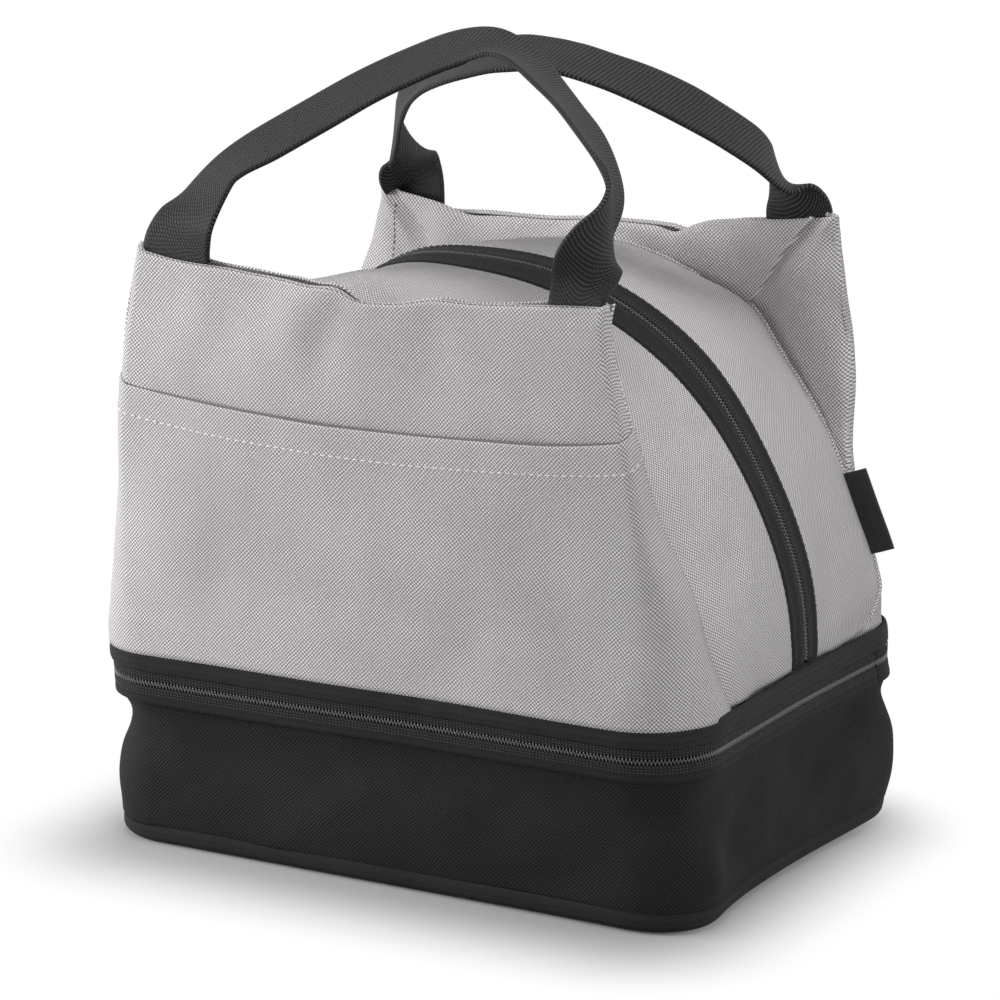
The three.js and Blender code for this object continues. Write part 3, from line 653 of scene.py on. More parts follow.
@dataclass(frozen=True)
class WovenCloth(Finish):
    """A woven synthetic cloth, drawn thread by thread from the cloth's own measure."""

    name: str
    weave: Weave
    hollow: str
    thread: str
    pitch_mm: float
    cross_mm: float
    relief_mm: float
    roughness: float
    sheen: float
    worn: str

    def pattern(self, tree: Tree) -> Socket:
        """The height of the threads, from 0 in the hollows to 1 on the crowns."""
        place = add_node(tree, "ShaderNodeUVMap", uv_map="cloth").outputs[0]
        warp = add_noise(tree, place, 0.11, 2.0)
        bent = add_node(tree, "ShaderNodeVectorMath",
                        {0: warp.outputs["Color"], "Scale": self.pitch_mm * 0.9}, operation="SCALE")
        moved = calculate_vector(tree, "ADD", place, bent.outputs[0])
        split = add_node(tree, "ShaderNodeSeparateXYZ", {0: moved})
        u, v = split.outputs[0], split.outputs[1]
        if self.weave is Weave.TWILL:
            slanted = calculate(tree, "ADD", u, v)
            first, second = wave(tree, slanted, self.pitch_mm), wave(tree, v, self.cross_mm)
            product = calculate(tree, "MULTIPLY_ADD", second, 0.35, first)
            low, high = -0.9, 1.1
        else:
            first, second = wave(tree, u, self.pitch_mm), wave(tree, v, self.cross_mm)
            product = calculate(tree, "MULTIPLY", first, second)
            low, high = -0.55, 0.6
            if self.weave is Weave.RIBBED:
                product = calculate(tree, "MULTIPLY_ADD", first, 1.1, product)
                low, high = -0.6, 1.5
        height = add_node(tree, "ShaderNodeMapRange",
                          {"Value": product, "From Min": low, "From Max": high},
                          interpolation_type="SMOOTHSTEP")
        return height.outputs[0]

    def build(self, tree: Tree) -> Node:
        """Threads of one colour over darker hollows, with slow patches of wear."""
        height = self.pattern(tree)
        position = add_node(tree, "ShaderNodeTexCoord").outputs["Object"]
        patches = add_noise(tree, position, 22.0, 3.0)
        fibres = add_noise(tree, position, 1400.0, 2.0)
        spread = add_node(tree, "ShaderNodeMapRange",
                          {"Value": patches.outputs["Fac"], "From Min": 0.35, "From Max": 0.7})
        crown = blend_colours(tree, spread.outputs[0], self.thread, self.worn)
        colour = blend_colours(tree, height, self.hollow, crown)
        rough = add_node(tree, "ShaderNodeMapRange",
                         {"Value": fibres.outputs["Fac"], "To Min": self.roughness - 0.08,
                          "To Max": self.roughness + 0.08})
        relief = add_node(tree, "ShaderNodeBump",
                          {"Strength": 1.0, "Distance": self.relief_mm * MM, "Height": height})
        return add_node(tree, "ShaderNodeBsdfPrincipled", {
            "Base Color": colour, "Roughness": rough.outputs[0], "Normal": relief.outputs[0],
            "IOR": 1.54, "Specular IOR Level": 0.18, "Sheen Weight": self.sheen, "Sheen Roughness": 0.45})


@dataclass(frozen=True)
class MouldedSkin(Finish):
    """A drawn, cast or foamed material with a fine grain."""

    name: str
    colour: str
    second: str
    grain_mm: float
    relief_mm: float
    roughness: float
    metallic: float = 0.0
    ior: float = 1.5
    cells: bool = False

    def build(self, tree: Tree) -> Node:
        """A two-tone grain that also gives the bump and the gloss."""
        position = add_node(tree, "ShaderNodeTexCoord").outputs["Object"]
        scale = 1 / (self.grain_mm * MM)
        if self.cells:
            grain = add_node(tree, "ShaderNodeTexVoronoi", {"Vector": position, "Scale": scale})
            height = grain.outputs["Distance"]
        else:
            height = add_noise(tree, position, scale, 4.0).outputs["Fac"]
        colour = blend_colours(tree, height, self.colour, self.second)
        rough = add_node(tree, "ShaderNodeMapRange",
                         {"Value": height, "To Min": self.roughness - 0.07, "To Max": self.roughness + 0.1})
        relief = add_node(tree, "ShaderNodeBump",
                          {"Strength": 0.7, "Distance": self.relief_mm * MM, "Height": height})
        inputs = {"Base Color": colour, "Roughness": rough.outputs[0], "Normal": relief.outputs[0],
                  "Metallic": self.metallic}
        if not self.metallic:
            inputs["IOR"] = self.ior
        return add_node(tree, "ShaderNodeBsdfPrincipled", inputs)


# Polyester oxford, plain woven from doubled yarn and coated behind: the eye sees staggered
# rows of pale thread crowns over darker holes, and a faint sheen where it turns away.
GREY_OXFORD = WovenCloth("polyester_oxford_grey_woven", Weave.OXFORD, "#837f81", "#dad7d8",
                         1.42, 1.42, 0.25, 0.82, 0.05, "#d0cccd")
# The same cloth dyed black: the rows are only just lighter than the holes.
BLACK_OXFORD = WovenCloth("polyester_oxford_black_woven", Weave.OXFORD, "#020202", "#2a282b",
                          1.5, 1.5, 0.3, 0.85, 0.01, "#1a181b")
# Polyester zip tape, twill woven: close slanting ribs. The real ribs, 0.5 mm apart, are
# drawn 1.1 mm apart so that they show.
ZIP_TAPE = WovenCloth("polyester_zip_tape_twill_woven", Weave.TWILL, "#040404", "#232124",
                      1.1, 2.2, 0.16, 0.8, 0.01, "#1b191c")
# The border tape folded over the edge: the same twill, a little smoother.
BORDER_TAPE = WovenCloth("polyester_border_tape_twill_woven", Weave.TWILL, "#0b0a0c", "#2c2a2d",
                         0.9, 2.4, 0.1, 0.8, 0.01, "#232124")
# Polypropylene webbing, warp woven: heavy ribs across the strap with beads along them.
WEBBING = WovenCloth("polypropylene_webbing_ribbed_woven", Weave.RIBBED, "#020202", "#454445",
                     1.6, 1.05, 0.4, 0.66, 0.02, "#353435")
# Polyester satin tag: fine slanting threads, smoother than the oxford.
TAG_CLOTH = WovenCloth("polyester_satin_black_woven", Weave.TWILL, "#1a191a", "#2c2b2c",
                       0.6, 1.2, 0.06, 0.6, 0.15, "#262526")
# Nylon monofilament, drawn and coiled: black with small sharp highlights.
COIL_NYLON = MouldedSkin("nylon_monofilament_drawn", "#2b2b2d", "#4c4c50", 0.5, 0.02, 0.27, 0.0, 1.53)
# Spun polyester sewing thread, black and grey: matt, with short fibres.
BLACK_THREAD = MouldedSkin("polyester_thread_black_spun", "#0c0c0d", "#232224", 0.3, 0.05, 0.7, 0.0, 1.54)
GREY_THREAD = MouldedSkin("polyester_thread_grey_spun", "#bcb8ba", "#dcd9da", 0.3, 0.05, 0.7, 0.0, 1.54)
# The same grey thread coloured dark grey as painted shade: it stands for the shadow in a seam between two
# edges of cloth.
SHADED_SEAM_THREAD = MouldedSkin("polyester_thread_grey_sunk", "#4f4c4e", "#6c686a", 0.3, 0.05, 0.75, 0.0, 1.54)
# Polyethylene foam, expanded: off-white with round cells of about a millimetre.
FOAM = MouldedSkin("polyethylene_foam_expanded", "#e2dfd6", "#f0ede6", 1.2, 0.25, 0.82, 0.0, 1.5, True)
# Aluminised polyethylene film: a dull silver with small crinkles.
LINING = MouldedSkin("aluminised_film_embossed", "#a9adb1", "#c6cacd", 2.2, 0.35, 0.34, 0.75)
# Zinc alloy, die cast and painted black: a satin skin with the paint's fine orange peel.
SLIDER_PAINT = MouldedSkin("zinc_cast_painted_black", "#131315", "#1d1d20", 0.8, 0.03, 0.34, 0.0, 1.5)


# The bag's form, shared by all sub-assemblies


@dataclass(frozen=True)
class BagForm:
    """The main sizes of the bag and the curves that its pieces follow."""

    half_width: float = 120.0
    half_depth: float = 87.5
    corner: float = 27.0
    zip_height: float = 60.0
    upper_foot: float = 72.4
    flat_part: float = 0.8
    fold_part: float = 0.2
    zip_end_y: float = 58.0
    ear_height: float = 215.0
    ear_half_width: float = 94.0
    dome_radius: float = 119.0
    dome_tilt: float = math.radians(4.5)
    dome_centre_z: float = 88.0
    dome_top_y: float = -2.0
    ear_share: float = 0.41
    arch_power: float = 2 / 1.8
    front_edge: tuple = ((-94, 216.6), (-81, 214.6), (-64, 211.8), (-50, 211.0), (-38, 208.8), (-28, 207.2),
                         (-13, 205.2), (3, 204.6), (20, 207.2), (37, 208.8), (66, 211.2), (94, 213.2))
    rear_edge: tuple = ((-94, 214.5), (-83, 212.4), (-70, 210.2), (-51, 205.8), (-37, 206.7), (-20, 206.9),
                        (-2, 208.4), (13, 208.4), (21, 208.2), (29, 206.6), (38, 210.1), (46, 212.5),
                        (54, 213.4), (76, 214.4), (94, 216.8))
    pulls: tuple = (
        Pull((98, -84, 205), (26, 14, 34), (-5.5, -1.5, 0)),
        Pull((110, -80, 142), (24, 15, 36), (-6.5, -0.5, 0)),
        Pull((-94, -84, 214), (30, 16, 30), (-1.0, 0, 1.5)), Pull((94, 84, 212), (30, 16, 34), (1.5, 0, 1.7)),
        Pull((-30, -52, 200), (24, 18, 16), (0, 0, 5.0)), Pull((114, 64, 84), (20, 11, 26), (2.0, 6.0, 0)),
        Pull((60, 77, 184), (18, 12, 18), (4.5, 0, 3.0)), Pull((105, 2, 140), (30, 40, 45), (-3.2, 0, -1.6)),
        Pull((62, 0, 188), (30, 40, 22), (-0.6, 0, -1.6)), Pull((-36, -8, 206), (26, 30, 14), (0, 0, 3.0)),
        Pull((-116, -76, 125), (26, 26, 42), (5.2, 0, 0)), Pull((-100, -82, 190), (20, 18, 22), (-3.5, 0, 0)),
        Pull((-112, -80, 142), (24, 20, 22), (2.8, 0, 0)),
        Pull((-103, 82, 170), (20, 14, 30), (-5.0, 0, 0)), Pull((-40, -74, 189), (30, 18, 14), (0, 0, 14.0)),
        Pull((-14, -74, 203), (7, 12, 10), (0, -1.0, 3.0)),
        Pull((-4, -73, 203), (6, 12, 10), (0, 0, -2.5)), Pull((24, -74, 204), (9, 12, 10), (0, 0, 2.0)),
    )
    base_pulls: tuple = (
        Pull((118, 72, 28), (44, 50, 46), (7.0, 1.0, 0)), Pull((-118, -62, 30), (46, 46, 36), (4.8, 0, 0)),
        Pull((116, -78, 12), (30, 26, 40), (5.0, -1.5, 0)),
    )

    @property
    def middle(self) -> Array:
        """A point inside the base."""
        return vector(0, 0, 35)

    @property
    def dome_centre(self) -> Array:
        """The centre of the dome zip's arc."""
        return vector(0, self.dome_top_y + self.dome_radius * math.sin(self.dome_tilt), self.dome_centre_z)

    @property
    def dome_up(self) -> Array:
        """The way up in the plane of the dome zip."""
        return vector(0, -math.sin(self.dome_tilt), math.cos(self.dome_tilt))

    @property
    def dome_axis(self) -> Array:
        """The direction across the dome zip, toward the rear."""
        return vector(0, math.cos(self.dome_tilt), math.sin(self.dome_tilt))

    def rim(self, arc: Array) -> tuple[Array, Array]:
        """The rounded rectangle of the base zip, seen from above.

        Args:
            arc: distance along it from the middle of the front, to the right when positive.

        Returns:
            The points at height zero and their outward normals.
        """
        side = np.where(arc < 0, -1.0, 1.0)
        s = np.abs(arc)
        (w, d), r = self.straights, self.corner
        q = r * math.pi / 2
        stops = [w, w + q, w + q + 2 * d, w + 2 * q + 2 * d]
        turn_a, turn_b = (s - stops[0]) / r, (s - stops[2]) / r
        at = [s < stops[0], s < stops[1], s < stops[2], s < stops[3]]
        x = np.select(at, [s, w + r * np.sin(turn_a), np.full_like(s, self.half_width),
                           w + r * np.cos(turn_b)], w - (s - stops[3]))
        y = np.select(at, [np.full_like(s, -self.half_depth), -d - r * np.cos(turn_a),
                           -d + s - stops[1], d + r * np.sin(turn_b)], np.full_like(s, self.half_depth))
        nx = np.select(at, [0 * s, np.sin(turn_a), 0 * s + 1, np.cos(turn_b)], 0 * s)
        ny = np.select(at, [0 * s - 1, -np.cos(turn_a), 0 * s, np.sin(turn_b)], 0 * s + 1)
        zero = np.zeros_like(s)
        return np.stack([side * x, y, zero], -1), np.stack([side * nx, ny, zero], -1)

    @property
    def cloth_foot(self) -> float:
        """The height at which the upper cloth ends, behind the border band."""
        return self.upper_foot - 1.6

    @property
    def straights(self) -> tuple[float, float]:
        """Half the straight part of the rim's front and of its side."""
        return self.half_width - self.corner, self.half_depth - self.corner

    @property
    def rim_length(self) -> float:
        """The whole way round the rim."""
        w, d = self.straights
        return 4 * (w + d) + 2 * math.pi * self.corner

    @property
    def zip_arc(self) -> float:
        """How far along the rim, from the middle of the front, the base zip ends."""
        w, d = self.straights
        return w + self.corner * math.pi / 2 + d + self.zip_end_y

    def arcs(self, step: float) -> Array:
        """Even places all the way round the rim."""
        half = self.rim_length / 2
        return np.linspace(-half, half, round(self.rim_length / step), endpoint=False)

    def rim_surface(self, arcs: Array, insets: Array, heights: Array, ring: bool) -> Surface:
        """A band round the rim from a profile of insets and heights.

        Args:
            arcs: places along the rim.
            insets: for each row, how far it lies inside the rim.
            heights: for each row, its height.
            ring: whether the band closes on itself.

        Returns:
            The surface, its rows in the order of the profile.
        """
        points, normals = self.rim(arcs)
        grid = points[None] - normals[None] * np.asarray(insets, float)[:, None, None]
        grid = grid + np.asarray(heights, float)[:, None, None] * vector(0, 0, 1)
        return Surface(grid, self.middle, ring)

    def settle(self, points: Array) -> Array:
        """The slow bulges and sags that all layers share, so that neighbours stay together."""
        rise = smoothstep(points[..., 2], 2.0, 45.0)
        amount = rise * (0.75 + 0.55 * smoothstep(points[..., 2], 90.0, 170.0))
        for slider in (vector(-121, 7.6, 84), vector(121, 7.6, 84)):
            away = np.linalg.norm(points - slider, axis=-1)
            amount = amount * (1 - np.exp(-(away / 24.0) ** 2))
        run = np.maximum(np.abs(points[..., 1]) - 50.0, 0.0)
        away = np.linalg.norm(np.stack([points[..., 0] + 120, run, points[..., 2] - 60], -1), axis=-1)
        clear = 1 - np.exp(-(away / 16.0) ** 4)
        fields = [soft_noise(points, 95.0, seed) for seed in (11, 12, 13)]
        sag = np.stack([fields[0], fields[1], fields[2] * 0.6], -1) * (amount * clear)[..., None]
        above = smoothstep(points[..., 2], 72.0, 86.0)[..., None]
        return (sag + above * sum(pull.move(points) for pull in self.pulls)
                + clear[..., None] * sum(pull.move(points) for pull in self.base_pulls))

    def settled(self, surface: Surface) -> Surface:
        """The surface with the shared sag."""
        return surface.shifted(self.settle(surface.points))

    def dome_point(self, share: Array, radius: Array, across: Array) -> Array:
        """A point of the dome.

        Args:
            share: 0 at the top, 1 at the right foot and -1 at the left foot.
            radius: distance from the arc's axis.
            across: distance from the arc's plane, toward the rear when positive.

        Returns:
            The points.
        """
        drop = self.upper_foot - self.dome_centre_z - across * math.sin(self.dome_tilt)
        angle = share * np.arccos(drop / (radius * math.cos(self.dome_tilt)))
        wide = (radius * np.sin(angle))[..., None] * vector(1, 0, 0)
        high = (radius * np.cos(angle))[..., None] * self.dome_up
        return self.dome_centre + wide + high + np.asarray(across)[..., None] * self.dome_axis

    def top_edge(self, facing: int, x: Array) -> Array:
        """The height of a half's top edge, which dips and waves between its ears."""
        knots = np.array(self.front_edge if facing < 0 else self.rear_edge, float)
        return smooth_curve(knots[:, 0], knots[:, 1], x)

    def panel_share(self, z: Array) -> Array:
        """How far up the panel a height is, from 0 to 1."""
        return np.clip((z - self.upper_foot) / (self.ear_height - self.upper_foot), 0.0, 1.0)

    def panel_half_width(self, facing: int, side: Array, z: Array) -> Array:
        """Half the panel's width over its folds, drawn in on the right behind.

        Args:
            facing: -1 for the front, 1 for the rear.
            side: -1 for the left fold, 1 for the right fold.
            z: the height.

        Returns:
            The half width at each height.
        """
        flare = (1 - self.panel_share(z) ** 2) ** 1.6
        tuck = 10.0 * np.exp(-((z - 130) / 30) ** 2) + 3.5 * np.exp(-((z - 88) / 12) ** 2)
        tuck = tuck * (facing > 0) * (np.asarray(side) > 0)
        return self.ear_half_width + (self.half_width - 0.3 - self.ear_half_width) * flare - tuck

    def panel_face(self, z: Array) -> Array:
        """How far the panel's face stands from the middle plane."""
        foot = np.clip((z - self.upper_foot) / 28.0, 0.0, 1.0)
        return 87.0 - 2.0 * foot - 0.6 * smoothstep(z, 161.5, self.ear_height)

    def fold_radius(self, z: Array) -> Array:
        """The radius of the panel's side folds."""
        return 3.4 + 23.6 * (1 - self.panel_share(z)) ** 3.0

    def panel_point(self, facing: int, across: Array, z: Array, out: Array) -> Array:
        """A point of a panel.

        Args:
            facing: -1 for the front, 1 for the rear.
            across: -1 to 1; beyond the flat part it turns round the side fold.
            z: the height.
            out: distance out from the panel's face.

        Returns:
            The points.
        """
        across, z, out = np.broadcast_arrays(across, z, out)
        radius, face = self.fold_radius(z), self.panel_face(z)
        side = np.where(across < 0, -1.0, 1.0)
        flat = self.panel_half_width(facing, side, z) - radius
        at = np.abs(across)
        is_flat = at <= self.flat_part
        turn = np.clip(self.fold_turn(at), 0.0, None)
        reach = radius + out
        x = np.where(is_flat, side * flat * at / self.flat_part, side * (flat + reach * np.sin(turn)))
        y = np.where(is_flat, face + out, face - radius + reach * np.cos(turn))
        return np.stack([x, facing * y, z + 0.0], -1)

    def fold_turn(self, at: Array) -> Array:
        """How far round the side fold a place across the panel is, in radians."""
        return (at - self.flat_part) / self.fold_part * math.pi / 2

    def panel_columns(self, flat_count: int, reach: float, fold_count: int) -> Array:
        """Places across a panel and round both its folds.

        Args:
            flat_count: how many lie on the flat part.
            reach: the last place of a fold.
            fold_count: how many lie on each fold, from where it starts.

        Returns:
            The places, from left to right.
        """
        flat = np.linspace(-self.flat_part, self.flat_part, flat_count)
        fold = np.linspace(self.flat_part, reach, fold_count)[1:]
        return np.concatenate([-fold[::-1], flat, fold])

    def seam(self, facing: int, share: Array, grow: float = 0.0) -> Array:
        """The arched seam between gusset and facing."""
        angle = np.abs(share) * math.pi / 2
        rise = np.maximum(np.cos(angle), 0.0) ** self.arch_power
        x = np.sign(share) * (116.5 + grow) * np.sin(angle) ** self.arch_power
        z = self.upper_foot + (201.0 + grow - self.upper_foot) * rise
        y = facing * (60.0 + 17.0 * (1 - (1 - rise) ** 2.5))
        return np.stack([x, y, z], -1)


# Base


@dataclass
class BaseBox:
    """The soft base: cloth wall, bottom, foam and lining."""

    form: BagForm
    wall_knots: tuple = ((6.6, 1.5), (8.0, 0.9), (16.0, 0.1), (30.0, 0.8), (40.0, 2.4), (46.5, 3.0),
                         (51.0, 2.1), (53.0, 1.7), (53.8, 1.7))
    cloth: float = 0.8
    creases: tuple = (
        Crease((-113, -68, 44), (0.6, -0.8, 0), 30, 9, -2.2), Crease((-104, -84, 20), (0, 0, 1), 16, 16, 1.0),
        Crease((112, -74, 40), (0.5, 0.8, -0.5), 22, 8, -1.9),
        Crease((119, -52, 24), (0.1, 0.9, 0.6), 26, 7, -1.7),
        Crease((96, -88, 30), (0.7, 0, 0.7), 22, 9, -1.5), Crease((70, -87, 14), (1, 0, 0.2), 26, 6, -1.2),
        Crease((-60, -87, 38), (1, 0, -0.3), 34, 7, -1.0), Crease((-20, -87, 22), (0.8, 0, 0.5), 26, 7, 0.8),
        Crease((118, 20, 34), (0, 1, 0.35), 34, 7, -1.6), Crease((117, 66, 44), (-0.3, 0.9, 0), 24, 8, -1.4),
    )

    def wall_insets(self, heights: Array) -> Array:
        """How far the wall's outer face lies inside the rim at each height."""
        knots = np.array(self.wall_knots)
        return smooth_curve(knots[:, 0], knots[:, 1], heights)

    def wall_surface(self, inset: float, step: float, rows: int, low: float, high: float) -> Surface:
        """A layer of the wall at a depth under its outer face."""
        heights = np.linspace(low, high, rows)
        return self.form.rim_surface(self.form.arcs(step), self.wall_insets(heights) + inset, heights, True)

    def slack(self, points: Array) -> Array:
        """How far the dents and bulges of the wall move each point outward."""
        free = smoothstep(points[..., 2], 7.5, 18.0) * (1 - smoothstep(points[..., 2], 44.0, 53.0))
        slow = 0.55 * soft_noise(points, 42.0, 21) + 0.22 * soft_noise(points, 19.0, 22)
        return slow * free + crease_lift(self.creases, points)

    def build_wall(self) -> None:
        """The cloth wall, slack and dented where nothing fills it out."""
        surface = self.form.settled(self.wall_surface(0.0, 1.9, 34, 6.6, 53.8))
        surface = surface.lifted(self.slack(surface.points))
        made = cloth_piece("base_wall_cloth", surface, self.cloth, BLACK_OXFORD)
        declare_cloth(surface)
        attach(made, "base", "black_oxford", "base_wall")

    def build_bottom(self) -> None:
        """The bottom cloth with its smooth turned-up strip."""
        angle = np.linspace(0, math.pi / 2, 7)
        insets = [1.2, 1.15, 1.2, *(1.2 + 4.0 * (1 - np.cos(angle[1:]))), 12.0, 20.0, 26.0]
        heights = [7.3, 5.6, 4.0, *(4.0 - 4.0 * np.sin(angle[1:])), 0.0, 0.0, 0.0]
        rim = self.form.rim_surface(self.form.arcs(3.2), insets, heights, True).points
        grid = np.concatenate([rim, *closing_rings(rim[-1:], FINE_RINGS)])
        surface = self.form.settled(Surface(grid, self.form.middle, True))
        made = cloth_piece("base_bottom_cloth", surface, self.cloth, BORDER_TAPE)
        declare_cloth(surface)
        attach(made, "base", "black_oxford", "base_bottom")

    def build_foam(self) -> None:
        """Foam behind the wall and on the floor."""
        wall = self.form.settled(self.wall_surface(1.2, 3.0, 20, 8.5, 51.5))
        wall = wall.lifted(self.slack(wall.points))
        made = cloth_piece("base_wall_foam_sheet", wall, 3.3, FOAM)
        attach(made, "base", "foam", "base_foam_wall")
        insets = [8.2, 6.6, 6.3, 6.6, 8.2, 16.0, 26.0]
        heights = [1.1, 1.6, 3.1, 4.6, 5.1, 5.1, 5.1]
        rim = self.form.rim_surface(self.form.arcs(6.0), insets, heights, True).points
        below = closing_rings(rim[:1], COARSE_RINGS[::-1])
        above = closing_rings(rim[-1:], COARSE_RINGS)
        floor = Surface(np.concatenate([*below, rim, *above]), vector(0, 0, 3), True)
        made = cloth_piece("base_floor_foam_sheet", floor, 0.4, FOAM)
        attach(made, "base", "foam", "base_foam_floor")

    def build_lining(self) -> None:
        """The film lining, turned over the foam's top edge."""
        heights = np.array([52.9, 53.0, 52.4, 50.0, 44.0, 38.0, 30.0, 22.0, 14.0, 8.0,
                            6.2, 5.8, 5.8, 5.8, 5.8])
        insets = self.wall_insets(np.maximum(heights, 6.6)) + 5.6
        insets[0] -= 3.8
        insets[1] -= 1.5
        insets[10:] = [6.9, 8.5, 14.0, 20.0, 26.0]
        rim = self.form.rim_surface(self.form.arcs(3.0), insets, heights, True).points
        grid = np.concatenate([rim, *closing_rings(rim[-1:], FINE_RINGS)])
        surface = self.form.settled(Surface(grid, self.form.middle, True))
        inside = smoothstep(surface.points[..., 2], 8.0, 16.0)
        crinkle = -0.35 * (1 + soft_noise(surface.points, 26.0, 31))
        surface = surface.lifted(crinkle + inside * np.minimum(self.slack(surface.points), 0.6))
        made = cloth_piece("base_film_lining", surface, 0.3, LINING)
        declare_cloth(surface)
        attach(made, "base", "lining", "base_lining")

    def build(self) -> None:
        """Builds and dresses the base box."""
        self.build_wall()
        self.build_bottom()
        self.build_foam()
        self.build_lining()


@dataclass
class CoilZip:
    """The measures that both zips share."""

    pitch: float = 1.3
    tooth: tuple[float, float, float] = (0.95, 0.3, 0.5)
    reach: float = 0.42
    slant: float = 0.3
    rows: tuple[float, ...] = (1.75, 2.75, 3.75)
    tape: float = 0.6

    def add_teeth(self, shape: Shape, path: Array, out: Array, away: float, offset: float) -> None:
        """Adds one half of the coil.

        Args:
            shape: what it is added to.
            path: the middle line of the closed zip, closely spaced.
            out: the direction in which the zip faces, at each point.
            away: 1 or -1, the side of the line on which this half lies.
            offset: where its first tooth sits, as a share of the pitch.
        """
        run = run_along(path)
        at = np.arange(offset * self.pitch + 0.4, run[-1] - 0.4, self.pitch)
        normal = unit(read_along(at, run, out))
        along = unit(read_along(at + 0.3, run, path) - read_along(at - 0.3, run, path))
        beside = unit(np.cross(normal, along)) * away
        slanted = unit(beside + along * self.slant)
        places = read_along(at, run, path) + beside * self.reach + normal * 0.1
        add_beads(shape, places, slanted, normal, self.tooth)


@dataclass
class BaseZip:
    """The zip round the base: two tapes, two halves of the coil and the hinge behind."""

    form: BagForm
    coil: CoilZip
    inset: float = 1.0
    sewn_end: float = 24.0
    lower: tuple = ((0.9, 52.5), (0.45, 52.8), (0.4, 54.0), (0.55, 55.2), (0.62, 56.2), (0.62, 57.4),
                    (0.7, 58.4), (1.1, 59.0), (1.7, 59.1))
    upper: tuple = ((1.0, 71.8), (1.0, 68.0), (0.95, 65.0), (0.7, 63.8), (0.62, 62.6), (0.7, 61.6),
                    (1.1, 61.0), (1.7, 60.9))

    def arcs(self, step: float) -> Array:
        """Places along the zip, from its left end by the front to its right end."""
        return np.linspace(-self.form.zip_arc, self.form.zip_arc, round(2 * self.form.zip_arc / step))

    def line(self, arcs: Array, inset: float, height: float) -> tuple[Array, Array]:
        """A line along the zip and the direction in which the zip faces there.

        Args:
            arcs: places along the rim.
            inset: how far it lies inside the rim.
            height: its height before the shared sag.

        Returns:
            The points and the directions.
        """
        path = self.form.settled(self.form.rim_surface(arcs, [inset], [height], False)).points[0]
        return path, unit(np.cross(np.gradient(path, axis=0), vector(0, 0, 1)))

    def build_tape(self, name: str, node: str, body: str, profile: list) -> None:
        """One tape, on edge along the rim, with its rows of binding loops.

        Args:
            name: the piece's name.
            node: the node it stands for.
            body: the body it rides on.
            profile: insets and heights of its rows, from its outer edge to the coil.
        """
        rows = np.array(profile)
        surface = self.form.settled(self.form.rim_surface(self.arcs(1.6), rows[:, 0], rows[:, 1], False))
        made = cloth_piece(name, surface, self.coil.tape, ZIP_TAPE)
        attach(made, body, "zip_tape", node)
        threads = Shape()
        side = 1 if rows[-1, 1] > rows[0, 1] else -1
        for away in self.coil.rows:
            path, out = self.line(self.arcs(0.6), self.inset - 0.32, self.form.zip_height - side * away)
            stitch_row(threads, path, out, BINDING_LOOP)
        attach(threads.piece(f"{name}_binding_loops", BLACK_THREAD), body, "zip_tape")

    def build_coil(self, name: str, node: str, body: str, away: float, offset: float) -> None:
        """One half of the coil."""
        path, out = self.line(self.arcs(0.5), self.inset + 0.1, self.form.zip_height)
        shape = Shape()
        self.coil.add_teeth(shape, path, out, away, offset)
        attach(shape.piece(name, COIL_NYLON), body, "zip_coil", node)

    def build_hinge(self) -> None:
        """The strip of cloth behind, which joins base and upper body and bends between them."""
        half = self.form.rim_length / 2
        start = self.form.zip_arc + 0.3
        arcs = np.linspace(start, 2 * half - start, 190)
        arcs = np.where(arcs > half, arcs - 2 * half, arcs)
        rows = np.array([*self.lower[:-1], (1.1, 60.0), *self.upper[-2::-1]])
        surface = self.form.settled(self.form.rim_surface(arcs, rows[:, 0], rows[:, 1], False))
        made = cloth_piece("rear_hinge_cloth", surface, 0.7, ZIP_TAPE)
        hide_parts("rear_hinge_strip", "upper_hinge_strip")
        declare_cloth(surface)
        self.bend(made)

    def bend(self, made: bpy.types.Object) -> None:
        """Bakes a piece's placement into its mesh."""
        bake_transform(made)

    def build_closed_ends(self) -> None:
        """The last teeth at both ends, sewn shut on the hinge cloth, with their rows of loops."""
        teeth, loops = Shape(), Shape()
        for hand in (1, -1):
            arcs = hand * np.arange(self.form.zip_arc + 0.3, self.form.zip_arc + self.sewn_end, 0.5)[::hand]
            path, out = self.line(arcs, self.inset + 0.1, self.form.zip_height)
            self.coil.add_teeth(teeth, path, out, 1.0, 0.0)
            self.coil.add_teeth(teeth, path, out, -1.0, 0.5)
            for away in (*self.coil.rows, *(-row for row in self.coil.rows)):
                stitch_row(loops, path + vector(0, 0, away) + out * 0.42, out, BINDING_LOOP)
        made = teeth.piece("base_zip_closed_end_teeth", COIL_NYLON)
        self.bend(made)
        made = loops.piece("base_zip_closed_end_loops", BLACK_THREAD)
        self.bend(made)

    def build(self) -> None:
        """Builds and dresses the zip."""
        self.build_tape("base_zip_tape_cloth", "base_zip_tape", "base", self.lower)
        self.build_tape("upper_zip_tape_cloth", "upper_zip_tape", "upper_body", self.upper)
        self.build_coil("base_zip_coil_teeth", "base_zip_coil", "base", 1.0, 0.0)
        self.build_coil("upper_zip_coil_teeth", "upper_zip_coil", "upper_body", -1.0, 0.5)
        self.build_hinge()
        self.build_closed_ends()


# Upper body


